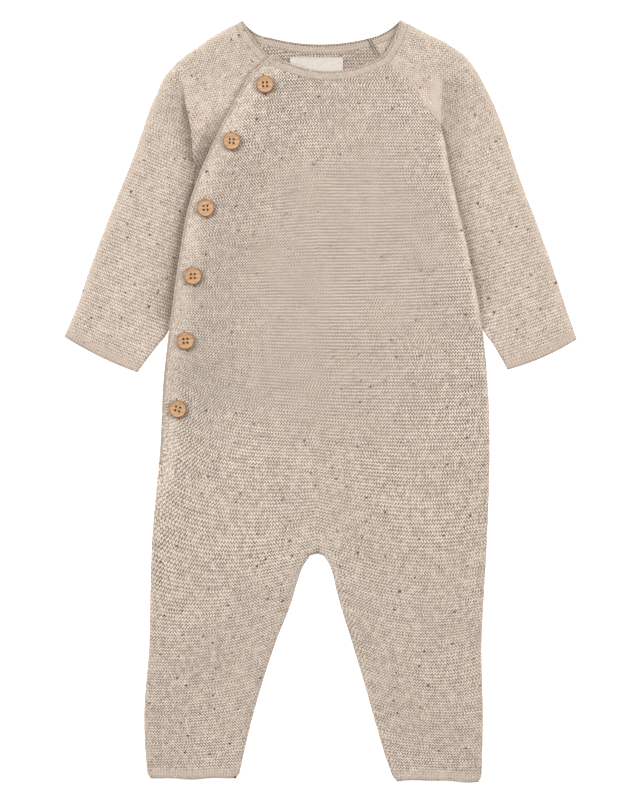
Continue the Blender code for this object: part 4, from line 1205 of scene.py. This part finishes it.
# %% A material in the making
class Recipe:
    """A material in the making."""

    def __init__(self, name):
        self.material = bpy.data.materials.new(name)
        self.material.use_nodes = True
        self.tree = self.material.node_tree
        self.shader = self.tree.nodes["Principled BSDF"]

    def node(self, kind, settings=None, values=None):
        return add_node(self.tree, kind, settings, values)

    def parts(self, vector):
        """The three numbers of a vector."""
        return self.node("ShaderNodeSeparateXYZ", None, {"Vector": vector})

    def channels(self, colour):
        """The red, green and blue of a colour."""
        return self.node("ShaderNodeSeparateColor", None, {"Color": colour})

    def uv(self, name):
        """The two numbers of a UV map."""
        return self.parts(self.node("ShaderNodeUVMap", {"uv_map": name})[0])[:2]

    def place(self):
        """Object coordinates in millimetres."""
        point = Wire(self.tree, self.tree.nodes.new("ShaderNodeTexCoord").outputs["Object"])
        return self.node("ShaderNodeVectorMath", {"operation": "SCALE"},
                         {"Vector": point, "Scale": 1 / MM})[0]

    def vector(self, x, y, z=0.0):
        return self.node("ShaderNodeCombineXYZ", None, {"X": x, "Y": y, "Z": z})[0]

    def noise(self, vector, scale, detail=2.0, rough=0.5, space="3D"):
        """Soft noise from 0 to 1."""
        return self.node("ShaderNodeTexNoise", {"noise_dimensions": space},
                         {"Vector": vector, "Scale": scale, "Detail": detail, "Roughness": rough})[0]

    def dice(self, x, y, seed=0.0):
        """Three random numbers from 0 to 1 for each pair of whole numbers."""
        cell = {"Vector": self.vector(x + seed, y)}
        return self.channels(
            self.node("ShaderNodeTexWhiteNoise", {"noise_dimensions": "2D"}, cell)[1])

    def cells(self, vector, scale):
        """Distance to the nearest of scattered points, and that point's three random numbers."""
        distance, hue = self.node("ShaderNodeTexVoronoi", {"voronoi_dimensions": "2D"},
                                  {"Vector": vector, "Scale": scale})[:2]
        return distance, self.channels(hue)

    def blend(self, share, first, second):
        """One colour into another by a share; sockets 6 and 7 are a Mix node's two colours."""
        return self.node("ShaderNodeMix", {"data_type": "RGBA"},
                         {"Factor": share, 6: self.colour(first), 7: self.colour(second)})[0]

    @staticmethod
    def colour(value):
        return value if isinstance(value, Wire) else (*value, 1.0)

    def finish(self, colour, roughness, height=None, depth=0.0, **constants):
        """Plugs the results into the shader; depth is in millimetres."""
        plug(self.tree, self.shader.inputs["Base Color"], self.colour(colour))
        plug(self.tree, self.shader.inputs["Roughness"], roughness)
        if height is not None:
            normal = self.node("ShaderNodeBump", None, {"Strength": 1.0, "Distance": depth * MM,
                                                        "Height": height})[0]
            plug(self.tree, self.shader.inputs["Normal"], normal)
        for key, value in constants.items():
            self.shader.inputs[key.replace("_", " ")].default_value = value
        return self.material


print("stitches are", STITCH_PITCH, "mm wide, ridges", ROW_PITCH, "mm apart")

# %% [markdown]
# ## Garter stitch
#
# In garter stitch every ridge is a chain of loops that looks like a wavy rope. The wave's crests
# lie one stitch apart. With a and b the angles up the rows and along them, the ridge is
# cos(a + m cos(b)): 1 on the rope and -1 in the gap. Yarn is never even, so each stitch gets its
# own brightness and its own depth of gap, slow noise shifts the rope a little, and the colour is
# mottled. Then come the specks: dark grey and brown tufts of fibre, knitted in here and there,
# and a few cream ones. Modelling each loop would take millions of faces, so the ridges are a
# colour and a bump: the colour paints a highlight on the ropes and shade in the gaps.
#
# Close to a hem the stitch turns to smooth jersey, whose columns run up and down. Along the
# right raglan seam a smooth band shows pale lines, where the stitches were narrowed. The map
# named look says where the cloth is pulled smooth and where it lies deep in a fold, where shade
# is painted in. The map named sway says where the ropes swing more, so that their lines break up.

# %% Colours of the yarn
# The pale colour is the paler yarn and also the painted highlight on raised yarn. The gap colour is
# painted shade in gaps, holes and grooves, and darkens the hem's edge. The shade colour is painted
# shade in hollows, folds and the back neck.
YARN_PALE_AND_LIT, YARN_MEAN, GAP_SHADE = (0.91, 0.78, 0.668), (0.64, 0.53, 0.44), (0.17, 0.12, 0.085)
YARN_SHADE, YARN_CLOUD = (0.21, 0.145, 0.105), (0.38, 0.29, 0.22)
HEATHER_GREY, HEATHER_PINK = (0.55, 0.51, 0.49), (0.68, 0.50, 0.38)
SPECK_GREY, SPECK_BROWN, SPECK_CREAM = (0.074, 0.067, 0.064), (0.10, 0.07, 0.05), (0.86, 0.79, 0.70)
YARN_SHEEN = dict(Sheen_Weight=0.18, Sheen_Roughness=0.6, Specular_IOR_Level=0.15)
# Spacing of each kind of dark speck, the share of them that is left out, and their radius.
DARK_SPECKS = ((14.0, 0.42, 1.05), (9.0, 0.60, 0.62))
# The smooth band and each pale line beside a seam: start, full, begin to fade, end.
SEAM_BAND = (SLEEVE_SEAM - 0.5, SLEEVE_SEAM, SLEEVE_SEAM + 6.5, SLEEVE_SEAM + 9.0)
SEAM_LINES = ((0.0, 0.5, 1.1, 2.0),
              (SLEEVE_SEAM - 0.4, SLEEVE_SEAM + 0.2, SLEEVE_SEAM + 1.0, SLEEVE_SEAM + 1.8),
              (SLEEVE_SEAM + 6.2, SLEEVE_SEAM + 6.9, SLEEVE_SEAM + 8.0, SLEEVE_SEAM + 8.8))

# %% [markdown]
# Two patterns come first: jersey for the hems, and specks, which every yarn of the suit has.
# Specks could be plain dots, but real ones are tufts, so noise moves their points about.

# %% Jersey and specks
def strip(distance, start, full, fading, end):
    """1 between full and fading, 0 before start and past end."""
    return distance.step(start, full) * distance.step(end, fading)


def jersey(u, v, stitch=STITCH_PITCH, course=1.55):
    """Columns of small Vs: a groove between columns, and slanted bars that meet in the middle."""
    side = (u / stitch).wrapped(1.0)
    groove = (side * TURN).cos()
    bars = ((v / course + side.abs() * 1.1) * TURN).cos()
    return groove * 0.45 + bars * 0.35


def speckle(recipe, colour, u, v, size=1.0):
    """Tufts of other fibre: scattered points, of which few are kept, each with its own hue."""
    ragged = recipe.noise(recipe.vector(u, v), 0.9, 2.0) * 1.8
    spot = recipe.vector(u * 0.72 + ragged, v + ragged)
    for cell, left_out, radius in DARK_SPECKS:
        distance, (red, green, blue) = recipe.cells(spot, 1 / cell)
        reach = (0.5 + blue * 0.6) * (radius * size / cell)
        mark = (distance / reach).step(1.0, 0.4) * red.over(left_out)
        tuft = recipe.blend(green.over(0.4), SPECK_BROWN, SPECK_GREY)
        colour = recipe.blend(mark, colour, tuft)
    distance, (red, _, _) = recipe.cells(spot, 1 / 7.0)
    return recipe.blend(distance.step(0.10, 0.03) * red.over(0.55) * 0.7, colour, SPECK_CREAM)

# %% [markdown]
# The ropes swing from side to side at each stitch. Where they swing little they show as straight
# lines, and where they swing more the slanted grain between them takes over.

# %% Garter stitch
def garter(recipe, u, v, sway=0.0):
    """Relief of the ropes, a random number for each stitch, and the share of painted gap shade:
    relief = cos(a + swing cos(b)), with a up the rows and b along them."""
    slow = recipe.vector(u * 0.10, v * 0.45)
    drift = recipe.noise(slow, 1.0, 1.0, space="2D") - 0.5
    shift = recipe.noise(recipe.vector(u * 0.06, v * 0.41, 5.0), 1.0, 1.0) - 0.5
    b = u / STITCH_PITCH + shift * 1.6
    swing = recipe.noise(recipe.vector(u * 0.2, v * 0.4, 9.0), 1.0, 1.0) * 0.10 + sway
    swing = swing + recipe.noise(recipe.vector(u, v), 0.03, 2.0, space="2D") * 0.12 + 0.172
    a = v / ROW_PITCH + drift * 0.35 + (b * TURN).cos() * swing
    rope = (a * TURN).cos()
    first, second = recipe.dice(b.floor(), (a + 0.5).floor())[:2]
    hole = recipe.dice((b + 0.5).floor(), a.floor(), 37.0)[0]
    relief = rope * (0.62 + 0.55 * first)
    gap = rope.step(0.2, -0.8) * (0.36 + 0.75 * hole)
    return relief, second - 0.5, gap

# %% [markdown]
# The yarn's colour is built in layers: pale and mean yarn by height, which is a painted
# highlight on the ropes, painted shade in the gaps, a mottle of grey and pink fibres, painted
# shade in folds and hollows, and the specks on top of all of it.

# %% The yarn of the suit
def garter_yarn(name):
    """The main cloth, with its hems and seam bands."""
    recipe = Recipe(name)
    u, v = recipe.uv("fabric")
    hem, seam = recipe.uv("marks")
    calm, tone_shift = recipe.uv("look")
    place = recipe.place()
    relief, luck, gap = garter(recipe, u, v, recipe.uv("sway")[0])
    fibre = recipe.noise(recipe.vector(u, v), 1.5, 3.0, 0.65, "2D") - 0.5
    patch = recipe.noise(recipe.vector(u * 0.30, v * 0.36), 1.0, 2.0, space="2D") - 0.5

    ragged = hem + (recipe.noise(recipe.vector(u * 0.16, 3.0), 1.0, 2.0, space="2D") - 0.5) * 5.0
    smooth = ragged.step(9.6, 4.4) * 0.72
    band = strip(seam, *SEAM_BAND) * 0.2
    ribs = jersey(u, hem)
    lines = sum(strip(seam, *line) for line in SEAM_LINES)
    quiet = (1 - smooth) * (1 - band) * (1 - calm)
    relief = relief * quiet + (ribs * 0.6 - 0.12) * smooth
    height = relief * 0.5 + (fibre + luck * 0.5) * 0.45 + lines * 0.35

    # The tops of the ropes get a painted highlight and the gaps painted shade.
    tone = 0.50 + relief * 0.74 + luck * quiet * 0.80 + fibre * 0.6 + patch * 0.2 - smooth * 0.16
    pale = recipe.blend(tone.step(0.25, 1.05), YARN_MEAN, YARN_PALE_AND_LIT)
    colour = recipe.blend(gap * quiet + tone.step(0.35, -0.25) * 0.6, pale, GAP_SHADE)
    colour = recipe.blend(lines * 0.14, colour, YARN_PALE_AND_LIT)
    heather = recipe.noise(place, 0.8, 2.0)
    colour = recipe.blend((heather - 0.5).abs() * 0.7, colour,
                          recipe.blend(heather.over(0.5), HEATHER_GREY, HEATHER_PINK))
    cloud = recipe.noise(place, 0.022, 2.0)
    colour = recipe.blend(cloud.step(0.3, 0.7) * 0.09, colour, YARN_CLOUD)
    colour = recipe.blend(hem.step(2.2, 0.3) * 0.3, colour, GAP_SHADE)
    # Where look is positive the yarn is paler. Where it is negative it is darker: painted shade in
    # hollows, the crease, the back neck and along rounded edges, and a little darker all over on the
    # sleeves and the front's legs.
    colour = recipe.blend(tone_shift.at_least(0.0) * 0.28, colour, YARN_PALE_AND_LIT)
    colour = recipe.blend((-tone_shift).at_least(0.0) * 0.52, colour, YARN_SHADE)
    colour = speckle(recipe, colour, u, v)
    return recipe.finish(colour, 0.92, height, 0.42, **YARN_SHEEN)


knit = garter_yarn("garter_knit")
for piece in (front, back, sleeve_right, sleeve_left):
    piece.data.materials.append(knit)
print("garter nodes:", len(knit.node_tree.nodes))

# %% [markdown]
# ## The neckband, the binding and the strip
#
# These are narrow, so they were knitted finer. The neckband carries the chain of the linking
# seam along its free edge, which shows as a row of small gaps of painted shade under a rolled
# lip with a painted highlight. The binding is a roll with painted shade in a groove along it.

# %% Trims
TRIM_MEAN = (0.54, 0.445, 0.365)
CHAIN_PITCH, CHAIN_PLACE, GROOVE_PLACE = 2.3, 5.6, 0.25


def trim(name, chain=None, groove=None):
    """Fine knit; chain is the place across of a row of dark gaps, groove that of a soft line.

    With a chain, the part that lies low inside the neck is coarser and darker, with painted shade.
    """
    recipe = Recipe(name)
    u, v = recipe.uv("fabric")
    relief, luck, gap = garter(recipe, u * 1.15, v * 1.3)
    fibre = recipe.noise(recipe.vector(u, v), 1.7, 3.0, 0.65, "2D") - 0.5
    inside = recipe.parts(recipe.place())[2].step(3.6, 1.4) * (1.0 if chain else 0.0)
    height = relief * 0.3 + fibre * 0.5
    # Raised yarn gets a painted highlight and the gaps painted shade, more of both low in the neck.
    tone = 0.37 + relief * (0.17 + inside * 0.4) + luck * 0.26 + fibre * 0.45
    colour = recipe.blend(tone.step(0.2, 1.15), TRIM_MEAN, YARN_PALE_AND_LIT)
    colour = recipe.blend(gap * 0.3, colour, GAP_SHADE)
    if chain is not None:
        along, across = (u / CHAIN_PITCH).wrapped(1.0) * CHAIN_PITCH, v - chain
        hole = (along * along * 0.8 + across * across * 1.2).step(0.75, 0.2)
        lip = across.step(0.5, 1.1)
        height = height + lip * 0.2 - hole * 0.7
        # Painted highlight on the rolled lip and painted shade in the chain's gaps.
        colour = recipe.blend(lip * 0.12, colour, YARN_PALE_AND_LIT)
        colour = recipe.blend(hole * (0.5 + inside * 0.4), colour, GAP_SHADE)
    if groove is not None:
        line = (v - groove).abs().step(0.05, 0.02)
        height = height - line
        # Painted shade in the groove.
        colour = recipe.blend(line * 0.3, colour, GAP_SHADE)
    # Painted shade on the part that lies low inside the neck.
    colour = recipe.blend(inside * 0.22, colour, YARN_SHADE)
    colour = speckle(recipe, colour, u, v, 0.7)
    return recipe.finish(colour, 0.9, height, 0.4, **YARN_SHEEN)


neckband.data.materials.append(trim("neck_trim", chain=CHAIN_PLACE))
binding.data.materials.append(trim("roll_trim", groove=GROOVE_PLACE))
stand.data.materials.append(trim("strip_trim"))

# %% [markdown]
# ## Label, wood and thread
#
# The label is a bare satin ribbon: fine warp threads cross a coarser weft. The buttons are cut
# from a pale hardwood, so the grain is noise stretched along one direction, with thin dark
# pores, and each button reads it at its own place. The thread is the cream yarn of the suit.

# %% Ribbon, wood and thread
RIBBON_DULL, RIBBON_PALE, RIBBON_EDGE = (0.60, 0.54, 0.485), (0.71, 0.655, 0.60), (0.56, 0.49, 0.43)
WOOD_DARK, WOOD_PALE, WOOD_PORE = (0.43, 0.225, 0.105), (0.68, 0.425, 0.245), (0.27, 0.13, 0.055)
WOOD_RIM_SHADE, WOOD_HOLE_SHADE = (0.20, 0.09, 0.038), (0.10, 0.045, 0.02)
# Colours of the painted shade in the buttonhole slits and beside the back seam.
SLIT_SHADE_DARK, SLIT_SHADE_PALE = (0.12, 0.085, 0.06), (0.34, 0.26, 0.19)


def ribbon(name):
    """A plain weave: warp plus weft as a fine checker of ridges."""
    recipe = Recipe(name)
    u, v = recipe.uv("fabric")
    weave = (u * (TURN / 0.5)).cos() * 0.5 + (v * (TURN / 0.7)).cos() * 0.5
    uneven = recipe.noise(recipe.vector(u * 0.25, v * 1.3), 1.0, 2.0, space="2D")
    edge = (v.abs() - 6.2).step(0.0, 0.4) * 0.5
    tone = (uneven + weave * 0.12).step(0.2, 0.9)
    colour = recipe.blend(edge, recipe.blend(tone, RIBBON_DULL, RIBBON_PALE), RIBBON_EDGE)
    return recipe.finish(colour, 0.6, weave + uneven * 2.0, 0.06, Sheen_Weight=0.1)


def turned_wood(name):
    """Grain: stretched noise with rings and pores; painted shade on the rim, sides and holes."""
    recipe = Recipe(name)
    x, y, z = recipe.parts(recipe.place())
    radius, level = recipe.uv("fabric")
    grain = recipe.noise(recipe.vector(x * 0.22 + y * 0.05, y * 1.5 - x * 0.3, z), 1.0, 4.0, 0.6)
    rings = ((y * 0.9 - x * 0.16 + grain * 3.5) * 2.2).cos()
    pores = recipe.noise(recipe.vector(x * 0.5, y * 4.0, z), 1.0, 2.0, 0.7).step(0.60, 0.74)
    tone = (grain * 0.75 + rings * 0.12 + 0.1).step(0.15, 0.85)
    colour = recipe.blend(tone, WOOD_DARK, WOOD_PALE)
    colour = recipe.blend(pores * 0.45, colour, WOOD_PORE)
    # Painted shade on the rounded rim and inside the holes.
    colour = recipe.blend(radius.step(5.5, 6.2) * 0.7, colour, WOOD_RIM_SHADE)
    colour = recipe.blend(level.step(0.7, 0.1) * 0.8, colour, WOOD_HOLE_SHADE)
    height = grain + rings * 0.1 - pores * 0.3
    return recipe.finish(colour, 0.5, height, 0.05, Specular_IOR_Level=0.35)


def slit(name):
    """Painted shade in a buttonhole's slit and beside the back seam, mottled."""
    recipe = Recipe(name)
    fibre = recipe.noise(recipe.vector(*recipe.uv("fabric")), 2.0, 2.0, space="2D")
    return recipe.finish(recipe.blend(fibre, SLIT_SHADE_DARK, SLIT_SHADE_PALE), 0.95)


label.data.materials.append(ribbon("satin_ribbon"))
wood = turned_wood("button_wood")
for button in buttons:
    button.data.materials.append(wood)
thread_trim = trim("sewing_thread")
for piece, look in ((threads, thread_trim), (tacks, thread_trim), (shade_tubes, slit("slit_shade"))):
    piece.data.materials.append(look)
print("materials:", len(bpy.data.materials))

# %% [markdown]
# ## Put each piece in the place of its solid
#
# Each piece stands for one solid and moves with the one body, and the solid is hidden.

# %% Ride and replace
pieces = {
    front: "front", back: "back", sleeve_right: "sleeve_right", sleeve_left: "sleeve_left",
    neckband: "neckband", stand: "button_stand", binding: "overlap_binding", label: "neck_label",
}
pieces.update((button, f"button_{number}") for number, button in enumerate(buttons, start=1))
for piece, node in pieces.items():
    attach(piece, "root")
    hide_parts(node)
for piece in (threads, shade_tubes, tacks):
    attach(piece, "root")

# %% [markdown]
# ## Floor, light and camera
#
# The suit was photographed from straight above on white. A long lens far away keeps its outline
# true, and broad soft lights with a bright surround leave only faint shadows. The floor is
# paper that glows a little, so that it comes out white.

# %% Floor
FLOOR_LEVEL, FLOOR_HALF = -0.0003, 3
WHITE = (1, 1, 1, 1)

floor_mesh = bpy.data.meshes.new("floor")
floor_mesh.from_pydata([(x * FLOOR_HALF, y * FLOOR_HALF, FLOOR_LEVEL)
                        for x, y in ((-1, -1), (1, -1), (1, 1), (-1, 1))], [], [(0, 1, 2, 3)])
floor_mesh.materials.append(Recipe("white_paper").finish(
    (0.95, 0.95, 0.95), 0.9, Emission_Color=WHITE, Emission_Strength=0.75))
floor = new_object("floor", floor_mesh)

# %% [markdown]
# Three square lamps give soft light from both sides and from above the neck. The surround fills
# the shadows, but not enough to hide the folds.

# %% Lights
world = bpy.data.worlds.new("studio")
scene.world = world
world.use_nodes = True
surround = world.node_tree.nodes["Background"].inputs
surround["Color"].default_value = WHITE
surround["Strength"].default_value = 0.24


def add_light(name, place, size, power):
    """A square soft light that looks at the middle of the suit."""
    lamp = bpy.data.lights.new(name, "AREA")
    lamp.shape, lamp.size, lamp.energy = "SQUARE", size, power
    light = new_object(name, lamp)
    light.location = place
    x, y, z = place
    light.rotation_euler = (math.atan2(math.hypot(x, y), z), 0, math.atan2(x, -y))


add_light("left", (-1.7, 0.6, 1.5), 0.9, 36)
add_light("right", (1.7, 0.5, 1.5), 0.9, 31)
add_light("top", (-0.3, 1.7, 1.9), 1.2, 17)

# %% [markdown]
# The lens follows from what the picture holds: at the cloth's level the frame's long side is 599
# mm, seen from 2.4 m above.

# %% Camera
SENSOR, CAMERA_HEIGHT, PHOTO_HEIGHT, CLOTH_LEVEL = 36, 2.4, 0.59925, 0.004
PHOTO_CENTRE = (-0.0004, 0.0004)
lens = bpy.data.cameras.new("overhead")
lens.sensor_width = SENSOR
lens.lens = SENSOR * (CAMERA_HEIGHT - CLOTH_LEVEL) / PHOTO_HEIGHT
camera = new_object("overhead", lens)
camera.location = (*PHOTO_CENTRE, CAMERA_HEIGHT)
scene.camera = camera
scene.view_settings.view_transform = "Standard"
print("lens", round(lens.lens), "mm at", CAMERA_HEIGHT, "m")
